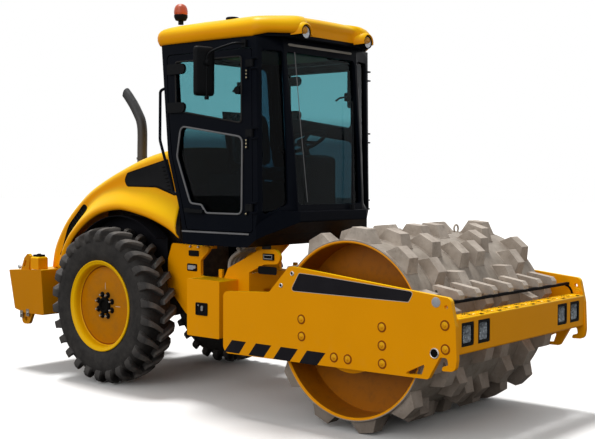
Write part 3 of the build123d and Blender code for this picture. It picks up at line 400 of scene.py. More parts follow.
finishes = {
    # the counterweight's darker copy of the yellow paint is painted shade
    "yellow": yellowPaint(), "paintedShade": yellowPaint("paintedShadeYellow", (0.66, 0.245, 0.0)),
    "disc": yellowPaint("boltDisc", (0.84, 0.36, 0.005)), "rim": rimPaint(), "black_paint": blackPaint(),
    "pad_steel": padSteel(), "drum": drumSteel(), "cast": castIron(), "exhaust": exhaustSteel(),
    "tyre": tyreRubber("tyreRubber", (0.0085, 0.0083, 0.0092), 0.85),
    "lug": tyreRubber("tyreLug", (0.040, 0.038, 0.038), 1.0),
    "rubber": rubber("softRubber", (0.02, 0.019, 0.018), 0.25),
    "seal": rubber("windowSeal", (0.012, 0.012, 0.013), 0.1, 0.55),
    "hosePale": rubber("hoseGuardPale", (0.42, 0.40, 0.37), 0.3, 0.6),
    "plastic": plastic("blackPlastic", (0.005, 0.0055, 0.0065)),
    "panel": plastic("panelPlastic", (0.0075, 0.0078, 0.009), 0.42),
    "liner": plastic("archLiner", (0.006, 0.006, 0.008), 0.7), "headliner": plastic("headliner", (0.36, 0.34, 0.30), 0.8),
    "trim": plastic("greyTrim", (0.17, 0.17, 0.175), 0.32), "ring": plastic("bareRing", (0.26, 0.060, 0.004), 0.6),
    "blank": plastic("blankDisc", (0.36, 0.37, 0.39), 0.45), "decal": plastic("blackBand", (0.013, 0.012, 0.015), 0.38),
    # the hole finish is a near-black painted shade for holes, slots, notches, vents and the gaps round the hood's
    # insets; the hub cap is given it too
    "edge": plastic("bandEdge", (0.55, 0.50, 0.42), 0.4), "holeShade": plastic("paintedHoleShade", (0.004, 0.0035, 0.003), 0.8),
    "steel": metal("brightSteel", (0.62, 0.61, 0.59), 0.22, 0.1), "zinc": metal("zincPlate", (0.58, 0.50, 0.32), 0.35),
    "weld": metal("weldBead", (0.33, 0.29, 0.25), 0.45, 0.2), "mirror": metal("mirrorGlass", (0.75, 0.78, 0.8), 0.03),
    # the cab glass is painted darker on its lower half, as painted shade
    "glass": glass("cabGlass", (0.30, 0.54, 0.57), low=(0.09, 0.17, 0.20)),
    "darkGlass": glass("quarterGlass", (0.035, 0.085, 0.125)), "lens": glass("lampLens", (0.92, 0.94, 0.95), 0.02),
    "amber": ribbedLens("amberDome", (0.55, 0.070, 0.004), 0.30),
    # the headlamp cups are a darker copy of the reflector than the roof lamp bowls, as painted shade
    "reflector": reflector("lampReflector", (0.42, 0.45, 0.48), (0.10, 0.11, 0.13)),
    "bowl": reflector("roofLampBowl", (0.88, 0.90, 0.93), (0.50, 0.54, 0.58)),
    "fabric": cloth("seatCloth", (0.020, 0.021, 0.024), 240),
}
print("materials made:", len(finishes))


def roundOff(points, steps=5):
    # each point is two numbers and, where the corner is round, its radius
    out, count = [], len(points)
    for i, p in enumerate(points):
        here, radius = Vector(p[:2]), p[2] if len(p) > 2 else 0
        before, after = Vector(points[i - 1][:2]) - here, Vector(points[(i + 1) % count][:2]) - here
        if radius <= 0:
            out.append(here)
            continue
        reach = min(radius / math.tan(before.angle(after) / 2), before.length * 0.49, after.length * 0.49)
        first, last = here + before.normalized() * reach, here + after.normalized() * reach
        for k in range(steps + 1):
            t = k / steps
            out.append(first * (1 - t) ** 2 + here * 2 * t * (1 - t) + last * t * t)
    return [(v.x, v.y) for v in out]


def smoothLine(points, steps=8):
    # a curve through the points
    spots, out = [Vector(p) for p in points], []
    last = len(spots) - 1
    for i in range(last):
        a, b, c, d = (spots[min(max(i + k, 0), last)] for k in (-1, 0, 1, 2))
        for t in (k / steps for k in range(steps)):
            out.append(0.5 * (2 * b + (c - a) * t + (2 * a - 5 * b + 4 * c - d) * t * t + (3 * b - a - 3 * c + d) * t ** 3))
    return out + [spots[-1]]


def circle(u, v, radius, steps=24):
    return [(u + radius * math.cos(a), v + radius * math.sin(a)) for a in around(steps)]


def around(steps):
    return [2 * math.pi * k / steps for k in range(steps)]


def box(u, v, halfU, halfV, corner=0.0, steps=4):
    ends = ((-1, -1), (1, -1), (1, 1), (-1, 1))
    points = [(u + halfU * a, v + halfV * b, corner) for a, b in ends]
    return roundOff(points, steps) if corner else [p[:2] for p in points]


def grow(outline, by):
    # the outline moved outward by a distance
    count, grown = len(outline), []
    middle = Vector((sum(p[0] for p in outline) / count, sum(p[1] for p in outline) / count))
    for i in range(count):
        a, b, c = Vector(outline[i - 1]), Vector(outline[i]), Vector(outline[(i + 1) % count])
        along = (c - a).normalized()
        away = Vector((along.y, -along.x))
        grown.append(tuple(b + away * (by if away.dot(b - middle) >= 0 else -by)))
    return grown


# where two numbers on a flat face and one along its axis lie in x, y and z
facing = {"x": lambda u, v, w: (w, u, v), "y": lambda u, v, w: (u, w, v), "z": lambda u, v, w: (u, v, w)}


def strip(a, b, count):
    # faces between two rows of points that run round
    return [(a + k, a + (k + 1) % count, b + (k + 1) % count, b + k) for k in range(count)]


class Shape:
    # vertices and faces gathered from simple forms, then made into one piece
    def __init__(self):
        self.points, self.faces = [], []

    def put(self, points, faces, move=None):
        base = len(self.points)
        self.points += [move @ Vector(p) if move else Vector(p) for p in points]
        self.faces += [tuple(base + i for i in face) for face in faces]
        return self

    def slab(self, outline, low, high, axis="y", move=None):
        # a flat outline given a thickness along one axis
        count = len(outline)
        points = [facing[axis](u, v, w) for w in (low, high) for u, v in outline]
        ends = [tuple(range(count)), tuple(range(2 * count - 1, count - 1, -1))]
        return self.put(points, ends + strip(0, count, count), move)

    def frame(self, outer, inner, low, high, axis="y"):
        # a flat ring between two outlines of the same count
        count = len(outer)
        loops = ((outer, low), (outer, high), (inner, high), (inner, low))
        points = [facing[axis](u, v, w) for line, w in loops for u, v in line]
        return self.put(points, [face for ring in range(4) for face in strip(ring * count, (ring + 1) % 4 * count, count)])

    def tube(self, path, radius, rounds=10, closed=False):
        spots, rings, side = [Vector(p) for p in path], [], None
        count = len(spots)
        for i, spot in enumerate(spots):
            after = spots[(i + 1) % count] if closed or i < count - 1 else spot
            ahead = (after - (spots[i - 1] if closed or i else spot)).normalized()
            if side is None:
                side = ahead.orthogonal().normalized()
            side = (side - ahead * side.dot(ahead)).normalized()
            other = ahead.cross(side)
            wide = radius[i] if isinstance(radius, list) else radius
            rings += [spot + (side * math.cos(a) + other * math.sin(a)) * wide for a in around(rounds)]
        faces = []
        for i in range(count if closed else count - 1):
            faces += strip(i * rounds, (i + 1) % count * rounds, rounds)
        if not closed:
            faces += [tuple(range(rounds - 1, -1, -1)), tuple(range((count - 1) * rounds, count * rounds))]
        return self.put(rings, faces)

    def turn(self, profile, at, axis="y", steps=32, capped=True):
        # a profile of (radius, along) turned about an axis through a point
        place = facing[axis]
        points = [place(r * math.cos(a), r * math.sin(a), w) for r, w in profile for a in around(steps)]
        faces = [face for i in range(len(profile) - 1) for face in strip(i * steps, (i + 1) * steps, steps)]
        for ring in (0, len(profile) - 1):
            if capped and profile[ring][0] > 1e-6 and profile[0] != profile[-1]:
                faces.append(tuple(range(ring * steps, (ring + 1) * steps)))
        return self.put(points, faces, Matrix.Translation(at))

    def grid(self, rows, closed=False):
        # rows of points with the same count, joined by faces
        count = len(rows[0])
        width = count if closed else count - 1
        faces = [face for i in range(len(rows) - 1) for face in strip(i * count, (i + 1) * count, count)[:width]]
        return self.put([p for row in rows for p in row], faces)

    def twin(self):
        # adds the mirror image on the machine's other side
        return self.put([(p.x, -p.y, p.z) for p in self.points], self.faces)

    def make(self, name, finish, body, slot, replaces=(), bevel=0.0, thick=0.0, angle=35):
        data = bpy.data.meshes.new(name)
        data.from_pydata([tuple(p) for p in self.points], [], self.faces)
        form = bmesh.new()
        form.from_mesh(data)
        bmesh.ops.remove_doubles(form, verts=form.verts, dist=1e-5)
        bmesh.ops.recalc_face_normals(form, faces=form.faces)
        form.to_mesh(data)
        form.free()
        thing = bpy.data.objects.new(name, data)
        scene.collection.objects.link(thing)
        data.materials.append(finishes[finish])
        data.polygons.foreach_set("use_smooth", [True] * len(data.polygons))
        data.set_sharp_from_angle(angle=math.radians(angle))
        if thick:
            wall = thing.modifiers.new("wall", "SOLIDIFY")
            wall.thickness, wall.offset = thick, -1
        if bevel:
            addBevel(thing, bevel, angle).harden_normals = True
        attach(thing, body)
        if replaces:
            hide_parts(*replaces)
        return thing

    def pair(self, name, finish, body, slot, replaces=(), **more):
        # built on the left and mirrored to the right; * in a body or node stands for the side's name
        for side, sign in sides.items():
            form = Shape().put([(p.x, p.y * sign, p.z) for p in self.points], self.faces)
            named = tuple(node.replace("*", side) for node in replaces)
            form.make(side + name, finish, body.replace("*", side), slot, named, **more)


def addBevel(thing, width, angle):
    edge = thing.modifiers.new("edge", "BEVEL")
    edge.width, edge.segments, edge.limit_method, edge.angle_limit = width, 2, "ANGLE", math.radians(angle)
    return edge


# the CAD nodes that stay: their finish, and a soft edge where one shows
nodeFinish = {
    "yellow": "left_rail right_rail hitch_bulkhead frame_plates battery_boxes left_side_plate right_side_plate front_beam "
              "rear_crossmember drum_supports tail_lamps",
    # the counterweight takes the darker copy of the yellow, as painted shade
    "paintedShade": "counterweight",
    "black_paint": "cab_base cab_frame left_door right_door handrails left_steer_barrel right_steer_barrel scraper_bar",
    "cast": "rear_axle engine hitch_link drum_journals", "liner": "arch_liners", "rubber": "cab_mounts drum_buffers",
    "hosePale": "hoses", "darkGlass": "quarter_glass", "glass": "windshield rear_glass left_door_glass right_door_glass",
    "plastic": "left_door_hardware right_door_hardware wiper steering_wheel seat_base",
    "panel": "console", "pad_steel": "scrapers drum_pads", "drum": "drum_shell", "steel": "left_steer_rod right_steer_rod",
}
softEdges = {
    0.003: "scrapers", 0.004: "drum_pads left_rail right_rail cab_frame rear_crossmember", 0.012: "console",
    0.005: "left_side_plate right_side_plate front_beam left_door right_door",
    0.006: "counterweight battery_boxes cab_base seat_base",
}
for finish, names in nodeFinish.items():
    for name in names.split():
        for slot in nodes[name].material_slots:
            slot.material = finishes[finish]
for width, names in softEdges.items():
    for name in names.split():
        nodes[name].modifiers.new("weld", "WELD").merge_threshold = 0.00005
        addBevel(nodes[name], width, 38)
print("finishes on the fixed parts")


# wall: (radius, across) of the carcass; lug: radius, across, share of the sweep, height and width along a lug;
# profile: (share of the height, share of the half width) across one lug
tyre = {"lugs": 26, "sweep": 8.0, "steps": 144,
        "wall": [(0.356, 0.128), (0.386, 0.130), (0.402, 0.146), (0.452, 0.1545), (0.500, 0.156), (0.540, 0.153),
                 (0.568, 0.145), (0.590, 0.130), (0.605, 0.102), (0.613, 0.060), (0.615, 0.0)],
        "lug": [(0.552, 0.151, 0.0, 0.008, 0.074), (0.562, 0.148, 0.01, 0.022, 0.074), (0.583, 0.138, 0.06, 0.042, 0.068),
                (0.597, 0.122, 0.14, 0.053, 0.054), (0.606, 0.099, 0.28, 0.055, 0.046), (0.612, 0.073, 0.45, 0.0545, 0.041),
                (0.615, 0.046, 0.66, 0.054, 0.038), (0.616, 0.018, 0.88, 0.0535, 0.036), (0.616, 0.0, 1.0, 0.053, 0.035)],
        "profile": ((-0.006, 1.36), (0.55, 1.08), (0.96, 0.98), (1.0, 0.92), (1.0, -0.92), (0.96, -0.98), (0.55, -1.08),
                    (-0.006, -1.36)),
        "bead": [(0.356, -0.09), (0.356, 0.09)], "crown": 0.64}


def lugPoints(start, half):
    # one curved chevron lug from the shoulder to the tyre's middle
    line, points = tyre["lug"], []
    for i, (r, y, part, high, wide) in enumerate(line):
        a, b = line[max(i - 1, 0)], line[min(i + 1, len(line) - 1)]
        run = Vector((b[0] - a[0], b[1] - a[1])).normalized()
        out = Vector((-run.y, run.x)) if -run.y > 0 else Vector((run.y, -run.x))
        for share, spread in tyre["profile"]:
            lift = high * share if share > 0 else share
            angle = start - math.radians(tyre["sweep"]) * part + spread * wide / 2 / tyre["crown"]
            rr = r + out.x * lift
            points.append((rr * math.cos(angle), half * (y + out.y * lift), rr * math.sin(angle)))
    return points


def buildTyre(name, side):
    at = Matrix.Translation((axleX, side * tyreMid, axleZ))
    wall = tyre["wall"] + [(r, -y) for r, y in reversed(tyre["wall"][:-1])] + tyre["bead"]
    angles = around(tyre["steps"])
    rows = [[at @ Vector((r * math.cos(a), y, r * math.sin(a))) for r, y in wall] for a in angles + angles[:1]]
    Shape().grid(rows, closed=True).make(name + "TyreCarcass", "tyre", name + "_wheel", "tyre", (name + "_tire",), angle=42)
    lugs, rings, round8 = Shape(), len(tyre["lug"]), len(tyre["profile"])
    faces = [face for i in range(rings - 1) for face in strip(i * round8, (i + 1) * round8, round8)[:-1]]
    faces += [tuple(range(round8)), tuple(range((rings - 1) * round8, rings * round8))]
    for half in (1, -1):
        for k in range(tyre["lugs"]):
            turn = 2 * math.pi / tyre["lugs"]
            lugs.put(lugPoints(k * turn + (turn / 2 if half < 0 else 0), half), faces, at)
    lugs.make(name + "TyreLugs", "lug", name + "_wheel", "tyre", angle=42)


# (radius, out from the tyre's middle) of the barrel and of the dish; nuts on a ring on the hub's flat
hub = {"nuts": 8, "ring": 0.096, "flat": 0.077,
       "barrel": [(0.388, 0.136), (0.3885, 0.146), (0.384, 0.150), (0.378, 0.149), (0.371, 0.143), (0.357, 0.137),
                  (0.350, 0.128), (0.3465, 0.110), (0.3445, 0.070), (0.344, -0.120), (0.350, -0.134), (0.371, -0.145),
                  (0.384, -0.150), (0.3885, -0.146), (0.388, -0.136), (0.357, -0.130), (0.357, 0.130), (0.388, 0.136)],
       "plate": [(0.0, 0.077), (0.190, 0.077), (0.322, 0.074), (0.328, 0.072), (0.331, 0.066), (0.335, 0.066),
                 (0.339, 0.074), (0.3455, 0.078), (0.3455, 0.052), (0.150, 0.058), (0.150, -0.136), (0.075, -0.136),
                 (0.075, -0.100), (0.0, -0.100)],
       "groove": [(0.3285, 0.0722), (0.331, 0.0668), (0.335, 0.0668), (0.3375, 0.0722)],
       "nut": [(0.0, 0.020), (0.013, 0.020), (0.0195, 0.015), (0.0205, 0.001), (0.0, 0.001)],
       "stud": [(0.0, 0.034), (0.0075, 0.034), (0.009, 0.031), (0.009, 0.016)],
       "washer": [(0.010, 0.0045), (0.0255, 0.0045), (0.0262, 0.0003), (0.010, 0.0003)],
       "cap": [(0.0, 0.010), (0.040, 0.010), (0.046, 0.024), (0.056, 0.026), (0.068, 0.018), (0.070, 0.0003)]}


def buildHubs():
    middle, flat = (axleX, tyreMid, axleZ), tyreMid + hub["flat"]
    rim = Shape().turn(hub["barrel"], middle, steps=96).turn(hub["plate"], middle, steps=96)
    rim.pair("RimDisc", "rim", "*_wheel", "yellow", ("*_rim",), angle=28)
    Shape().turn(hub["groove"], middle, steps=96).pair("RimGroove", "ring", "*_wheel", "yellow")
    nuts, studs, washers = Shape(), Shape(), Shape()
    for k in range(hub["nuts"]):
        a = 2 * math.pi * (k + 0.5) / hub["nuts"]
        at = (axleX + hub["ring"] * math.cos(a), flat, axleZ + hub["ring"] * math.sin(a))
        for form, part, steps in ((nuts, "nut", 6), (studs, "stud", 10), (washers, "washer", 24)):
            form.turn(hub[part], at, steps=steps)
    nuts.pair("WheelNuts", "plastic", "*_wheel", "cast", bevel=0.0015)
    studs.pair("WheelStuds", "steel", "*_wheel", "steel")
    washers.pair("WheelWashers", "plastic", "*_wheel", "cast")
    Shape().turn(hub["cap"], (axleX, flat, axleZ), steps=40).pair("HubCap", "holeShade", "*_wheel", "cast")
    marks = Shape().slab(box(axleX, axleZ + 0.165, 0.0022, 0.028), flat - 0.0005, flat + 0.0008)
    marks.slab(box(axleX + 0.165, axleZ, 0.030, 0.0022), flat - 0.0005, flat + 0.0008)
    marks.pair("RimMarks", "edge", "*_wheel", "yellow")


for name, side in sides.items():
    buildTyre(name, side)
buildHubs()
print("tyres and hubs made")


# crest and arch: (x, z) of the hood's top line and of its fender's lip; top: (y, drop) across the crest
hood = {
    "crest": [(-0.540, 2.010), (-0.647, 1.996), (-0.802, 1.966), (-1.000, 1.912), (-1.203, 1.841), (-1.413, 1.756),
              (-1.629, 1.650), (-1.800, 1.532), (-1.966, 1.387), (-2.082, 1.241), (-2.164, 1.094), (-2.203, 0.925)],
    "arch": [(-0.323, 1.269), (-0.434, 1.334), (-0.622, 1.404), (-0.815, 1.450), (-1.054, 1.484), (-1.301, 1.451),
             (-1.492, 1.371), (-1.645, 1.264), (-1.733, 1.177), (-1.805, 1.065), (-1.860, 0.925)],
    "top": [(0.0, -0.020), (0.10, -0.019), (0.20, -0.016), (0.30, -0.011), (0.38, -0.006), (0.44, 0.0), (0.485, 0.008),
            (0.515, 0.022), (0.537, 0.044), (0.549, 0.072)],
    "lip": ((0.036, 0.6685), (0.026, 0.667), (0.014, 0.662), (0.004, 0.653), (0.0, 0.644)),
    "flank": 0.553, "edge": 0.668, "columns": 60,
    "panel": [(-1.108, 1.742, 0.045), (-1.068, 1.802, 0.03), (-0.560, 1.918, 0.012), (-0.490, 1.700, 0.01),
              (-0.462, 1.617, 0.01), (-0.700, 1.686, 0.2), (-1.080, 1.690, 0.045)],
    "vent": [(-1.672, 1.520, 0.03), (-1.606, 1.470, 0.03), (-1.735, 1.300, 0.3), (-1.880, 1.050, 0.03),
             (-1.996, 1.075, 0.03), (-1.900, 1.315, 0.3)],
    "pin": (-2.223, 0.946), "knuckles": (0.405, 0.435), "stack": (-1.515, 0, 0)}


def evenly(points, count):
    # the same line with evenly spaced points
    line = smoothLine([(x, 0, z) for x, z in points], 10)
    sums = [0.0]
    for a, b in zip(line, line[1:]):
        sums.append(sums[-1] + (b - a).length)
    out, k = [], 0
    for i in range(count + 1):
        want = sums[-1] * i / count
        while k < len(sums) - 2 and sums[k + 1] < want:
            k += 1
        out.append(line[k].lerp(line[k + 1], min((want - sums[k]) / max(sums[k + 1] - sums[k], 1e-9), 1)))
    return out


def hoodSection(crest, lip, u):
    # one section from the top's middle down the flank to the rolled lip of the flared fender, as (y, point)
    down = lip - crest
    length = down.length
    down.normalize()
    flareWide = 0.30 - 0.12 * u if u < 0.5 else 0.24 - 0.17 * (u - 0.5) * 2
    out = [(y, crest + down * drop) for y, drop in hood["top"]]
    first = hood["top"][-1][1]
    for k in range(1, 16):
        d = first + (length - first - 0.045) * k / 15
        bulge = max(0.0, 1 - (length - d - 0.045) / flareWide)
        rise = bulge * bulge * (3 - 2 * bulge)
        dip = 0.006 * math.sin(math.pi * min(1, (d - first) / max(length - first - flareWide, 0.05)))
        out.append((hood["flank"] - max(dip, 0) + (hood["edge"] - hood["flank"]) * rise, crest + down * d))
    return out + [(y, lip - down * left) for left, y in hood["lip"]]


def buildHood():
    count, rows = hood["columns"], []
    for i, (crest, lip) in enumerate(zip(evenly(hood["crest"], count), evenly(hood["arch"], count))):
        part = hoodSection(crest, lip, i / count)
        rows.append([(p.x, -y, p.z) for y, p in reversed(part)] + [(p.x, y, p.z) for y, p in part[1:]])
    form = Shape().grid(rows)
    form.make("hoodShell", "yellow", "hood", "yellow", ("hood",), thick=0.012, angle=60)
    return BVHTree.FromPolygons([tuple(p) for p in form.points], form.faces)


hoodTree = buildHood()


def ontoHood(points, sign, lift):
    # side-view points laid on one flank of the hood
    found = []
    for x, z in points:
        hit = hoodTree.ray_cast(Vector((x, sign * 1.2, z)), Vector((0, -sign, 0)))[0]
        found.append(Vector((x, (hit.y if hit else sign * hood["flank"]) + sign * lift, z)))
    return found


def hoodInset(name, sign, outline, finish, lift, rim, rows=14, columns=44):
    # a filled outline on the flank, built as strips between its lower and upper edge, with a dark rim tube as painted
    # shade in the gap round it
    line = roundOff(outline, 6)
    low, high = min(p[0] for p in line), max(p[0] for p in line)
    sheet = []
    for i in range(columns + 1):
        x = low + (high - low) * (0.002 + 0.996 * i / columns)
        crossed = [a[1] + (b[1] - a[1]) * (x - a[0]) / (b[0] - a[0]) for a, b in zip(line, line[1:] + line[:1])
                   if (a[0] - x) * (b[0] - x) <= 0 and a[0] != b[0]]
        a, b = min(crossed), max(crossed)
        sheet.append(ontoHood([(x, a + (b - a) * k / rows) for k in range(rows + 1)], sign, lift))
    thing = Shape().grid(sheet).make(name, finish, "hood", "plastic", thick=0.004, angle=50)
    Shape().tube(ontoHood(line, sign, lift * 0.6), rim, 6, closed=True).make(name + "Rim", "holeShade", "hood", "plastic")
    return thing


for side, sign in sides.items():
    panel = hoodInset(side + "HoodPanel", sign, hood["panel"], "panel", 0.003, 0.005)
    # the vent is a near-black sheet of painted shade behind its slats
    hoodInset(side + "HoodVent", sign, hood["vent"], "holeShade", 0.0015, 0.007)
    slats, fins = Shape(), Shape()
    for k in range(11):
        t = (k + 0.8) / 11.6
        a = Vector((-1.668, 0, 1.470)).lerp(Vector((-1.955, 0, 1.105)), t)
        a += Vector((-0.030, 0, 0.018)) * math.sin(math.pi * t)
        slats.tube(ontoHood([(a.x + n * 0.026, a.z - n * 0.016) for n in (-1, 0, 1)], sign, 0.004), 0.0045, 6)
    for k in range(7):
        a = Vector((-0.585, 0, 1.872)).lerp(Vector((-0.490, 0, 1.655)), (k + 0.4) / 7)
        fins.tube(ontoHood([(a.x - 0.045, a.z - 0.008), (a.x, a.z)], sign, 0.006), 0.0055, 6)
    slats.make(side + "VentSlats", "plastic", "hood", "plastic")
    fins.make(side + "PanelFins", "plastic", "hood", "plastic")
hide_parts("hood_panels")
knuckle, (x, z) = Shape(), hood["pin"]
for y in hood["knuckles"]:
    knuckle.slab(circle(x, z, 0.018, 18), y - 0.013, y + 0.013)
    knuckle.slab([(x, z - 0.012), (x + 0.033, z - 0.012), (x + 0.033, z + 0.018), (x, z + 0.018)], y - 0.013, y + 0.013)
knuckle.pair("HoodKnuckle", "yellow", "hood", "yellow", bevel=0.001)
collar = [(0.047, 1.78), (0.075, 1.78), (0.075, 1.792), (0.062, 1.80), (0.055, 1.812), (0.047, 1.812)]
Shape().turn(collar, hood["stack"], "z", 36).make("exhaustCollar", "plastic", "hood", "cast")

# one smooth pipe with a swept bend and a slanted outlet
exhaust = {"path": [(-1.515, 1.70), (-1.514, 1.995), (-1.512, 2.190), (-1.531, 2.291), (-1.575, 2.365), (-1.630, 2.441),
                    (-1.698, 2.518), (-1.736, 2.556)], "radius": 0.046, "rounds": 36, "slant": 0.55,
           "bore": ((0.91, 0.0), (0.90, 0.02), (0.90, 0.16)),
           "clamp": [(0.047, 1.93), (0.052, 1.932), (0.052, 1.950), (0.047, 1.952)]}


def buildExhaust():
    line, side = smoothLine([(x, 0, z) for x, z in exhaust["path"]], 7), Vector((0, 1, 0))
    radius, rounds, rows = exhaust["radius"], exhaust["rounds"], []
    for i, spot in enumerate(line):
        ahead = (line[min(i + 1, len(line) - 1)] - line[max(i - 1, 0)]).normalized()
        up, slant = side.cross(ahead), exhaust["slant"] if i == len(line) - 1 else 0.0
        rows.append([spot + (side * math.cos(a) + up * math.sin(a)) * radius + ahead * slant * radius * math.sin(a)
                     for a in around(rounds)])
    bore = [[line[-1] + (p - line[-1]) * share - ahead * drop for p in rows[-1]] for share, drop in exhaust["bore"]]
    form = Shape().grid(rows + bore, closed=True).put(bore[-1], [tuple(range(rounds))])
    form.make("exhaustPipe", "exhaust", "hood", "steel", ("exhaust",), angle=50)
    clamp = Shape().turn(exhaust["clamp"], hood["stack"], "z", 36)
    clamp.slab(box(-1.455, 1.941, 0.014, 0.008, 0.003, 3), -0.010, 0.010)
    clamp.make("exhaustClamp", "exhaust", "hood", "steel")


buildExhaust()
print("hood and exhaust made")


# half: the outline's (x, y) from the front's middle round to the back's; rings: (z, inset) from the lower edge up
roof = {
    "half": [(0.762, 0.0), (0.762, 0.16), (0.760, 0.29), (0.772, 0.325), (0.792, 0.352), (0.798, 0.395), (0.788, 0.450),
             (0.752, 0.505), (0.690, 0.580), (0.632, 0.645), (0.575, 0.690), (0.500, 0.704), (0.300, 0.710), (0.0, 0.712),
             (-0.300, 0.710), (-0.450, 0.702), (-0.505, 0.676), (-0.530, 0.620), (-0.537, 0.450), (-0.537, 0.220),
             (-0.537, 0.0)],
    "rings": [(2.853, 0.014), (2.846, 0.004), (2.847, -0.004), (2.862, -0.014), (2.885, -0.023), (2.912, -0.025),
              (2.940, -0.018), (2.966, -0.002), (2.986, 0.022), (3.001, 0.058), (3.010, 0.110), (3.016, 0.200),
              (3.020, 0.340)],
    "middle": 0.12, "crown": 0.020, "frontLift": 0.026, "face": 0.300, "faceTop": 2.950, "under": (2.849, 2.876),
    "lamp": (0.826, 0.392, 2.884), "vent": (0.245, -0.600, 3.012),
    "bezel": [(0.046, -0.004), (0.048, 0.003), (0.051, 0.003), (0.055, -0.008), (0.055, -0.060), (0.046, -0.060)],
    "lens": [(0.0, 0.004), (0.020, 0.003), (0.036, 0.0), (0.0450, -0.004), (0.0450, -0.007), (0.0, -0.005)],
    "bowl": [(0.0455, -0.008), (0.040, -0.015), (0.026, -0.022), (0.0, -0.026)],
    "brow": ((0.057, -0.075), (0.057, 0.006), (0.062, 0.010), (0.070, 0.004), (0.082, -0.030), (0.098, -0.075)),
    "ventCap": [(0.0, 0.013), (0.042, 0.013), (0.052, 0.008), (0.054, -0.02), (0.0, -0.02)],
    "foot": [(0.0, 0.0), (0.022, 0.0), (0.022, 0.028), (0.044, 0.034), (0.056, 0.060), (0.056, 0.078), (0.050, 0.082),
             (0.0, 0.082)],
    "dome": [(0.052, 0.078), (0.057, 0.090), (0.0565, 0.112), (0.052, 0.135), (0.043, 0.153), (0.028, 0.165), (0.012, 0.170),
             (0.0, 0.171)]}


def clip(value):
    return max(0.0, min(1.0, value))


def roofSpot(x, y, z, inset):
    # eyebrow lobes stand out over the lamps, the front face between them is flat, and the top is a little crowned
    ahead = clip((x - 0.55) / 0.10)
    between = ahead * clip((roof["face"] + 0.035 - abs(y)) / 0.035)
    pull = inset + between * (max(0.0, -inset) + (0.0 if z > roof["faceTop"] else 0.012))
    d = Vector((x - roof["middle"], y))
    spot = Vector((x, y)) - d * min(pull / max(d.length, 0.1), 0.985)
    share, low = clip((z - 2.95) / 0.05), clip((2.90 - z) / 0.05)
    crown = roof["crown"] * (1 - min(abs(spot.y) / 0.65, 1.0) ** 2) - 0.012 * max(0.0, -spot.x - 0.05) / 0.45
    return Vector((spot.x, spot.y, z + share * crown + ahead * roof["frontLift"] * low))


def buildRoof():
    half = smoothLine([(x, y, 0) for x, y in roof["half"]], 4)
    line = [(p.x, p.y) for p in half] + [(p.x, -p.y) for p in reversed(half[1:-1])]
    top, middle, count = roof["rings"][-1][0], roof["middle"], len(line)
    rings = roof["rings"] + [(top, 0.50 + 0.07 * k) for k in range(3)]
    form = Shape().grid([[roofSpot(x, y, z, inset) for x, y in line] for z, inset in rings], closed=True)
    last = len(form.points)
    form.put([(middle, 0, top + roof["crown"])], [])
    form.faces += [(last - count + k, last - count + (k + 1) % count, last) for k in range(count)]
    form.make("roofShell", "yellow", "rear_frame", "yellow", ("roof",), angle=70)
    under = Shape().slab([(middle + (x - middle) * 0.975, y * 0.975) for x, y in line], *roof["under"], "z")
    under.make("roofUnderside", "black_paint", "rear_frame", "black_paint")


def buildRoofLamps():
    x, y, z = roof["lamp"]
    bezels, lenses, bowls = (Shape().turn(roof[part], (x, y, z), "x", 40, capped).twin()
                             for part, capped in (("bezel", False), ("lens", True), ("bowl", False)))
    arch = [math.radians(a) for a in range(-14, 195, 8)]
    rows = [[Vector((x + w, y + math.cos(a) * r, z + math.sin(a) * r)) for r, w in roof["brow"]] for a in arch]
    bezels.make("roofLampBezels", "plastic", "rear_frame", "plastic", ("roof_lamps",))
    lenses.make("roofLampLenses", "lens", "rear_frame", "glass")
    bowls.make("roofLampBowls", "bowl", "rear_frame", "lamp")
    Shape().grid(rows).twin().make("roofBrows", "yellow", "rear_frame", "yellow", angle=70)


def buildBeacon():
    low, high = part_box("beacon")
    at = ((low[0] + high[0]) / 2, (low[1] + high[1]) / 2, low[2] + 0.030)
    Shape().turn(roof["foot"], at, "z", 36).make("beaconFoot", "plastic", "rear_frame", "plastic", ("beacon",))
    Shape().turn(roof["dome"], at, "z", 36).make("beaconDome", "amber", "rear_frame", "amber")


buildRoof()
buildRoofLamps()
Shape().turn(roof["ventCap"], roof["vent"], "z").make("roofVent", "plastic", "rear_frame", "plastic")
buildBeacon()
print("roof made")


# side plates: (x, z) on the outer face; stripes: left and right x at the top, then at the base
plate = {
    "band": [(1.226, 1.096, 0.022), (1.148, 0.968, 0.022), (2.168, 0.966, 0.020), (2.206, 1.034, 0.020), (1.400, 1.088, 0.6)],
    "stripes": [(0.565, 0.709, 0.486, 0.638), (0.810, 0.962, 0.734, 0.885), (1.055, 1.216, 0.980, 1.140),
                (1.302, 1.470, 1.230, 1.393)], "stripeZ": (0.460, 0.555),
    "ringed": [(1.248, 0.771), (1.251, 0.650), (1.954, 0.781), (1.956, 0.658), (1.959, 0.537), (1.546, 0.533),
               (1.667, 0.534), (2.451, 0.838), (2.456, 0.685)],
    "ring": [(0.0, 0.0003), (0.035, 0.0003), (0.0345, 0.0030), (0.029, 0.0038), (0.0, 0.0016)],
    "disc": [(0.0, 0.006), (0.0215, 0.006), (0.0245, 0.004), (0.0248, 0.0012), (0.0, 0.0012)],
    "bolt": [(0.0, 0.013), (0.0085, 0.013), (0.011, 0.010), (0.012, 0.004), (0.0, 0.004)],
    "blank": (2.382, 0.981), "blankDisc": [(0.0, 0.004), (0.030, 0.004), (0.033, 0.002), (0.033, 0.0003), (0.0, 0.0003)],
    "holes": ((2.373, 0.651, 0.028), (1.160, 1.090, 0.010), (1.054, 0.998, 0.010)),
    "slot": [(2.372, 0.952), (2.402, 0.938), (2.424, 0.905), (2.432, 0.860), (2.432, 0.820)], "inner": 0.895,
    "boss": [(0.0, -0.010), (0.012, -0.010), (0.016, -0.004), (0.026, -0.006), (0.031, 0.0)], "bossAt": (2.472, 0.905)}


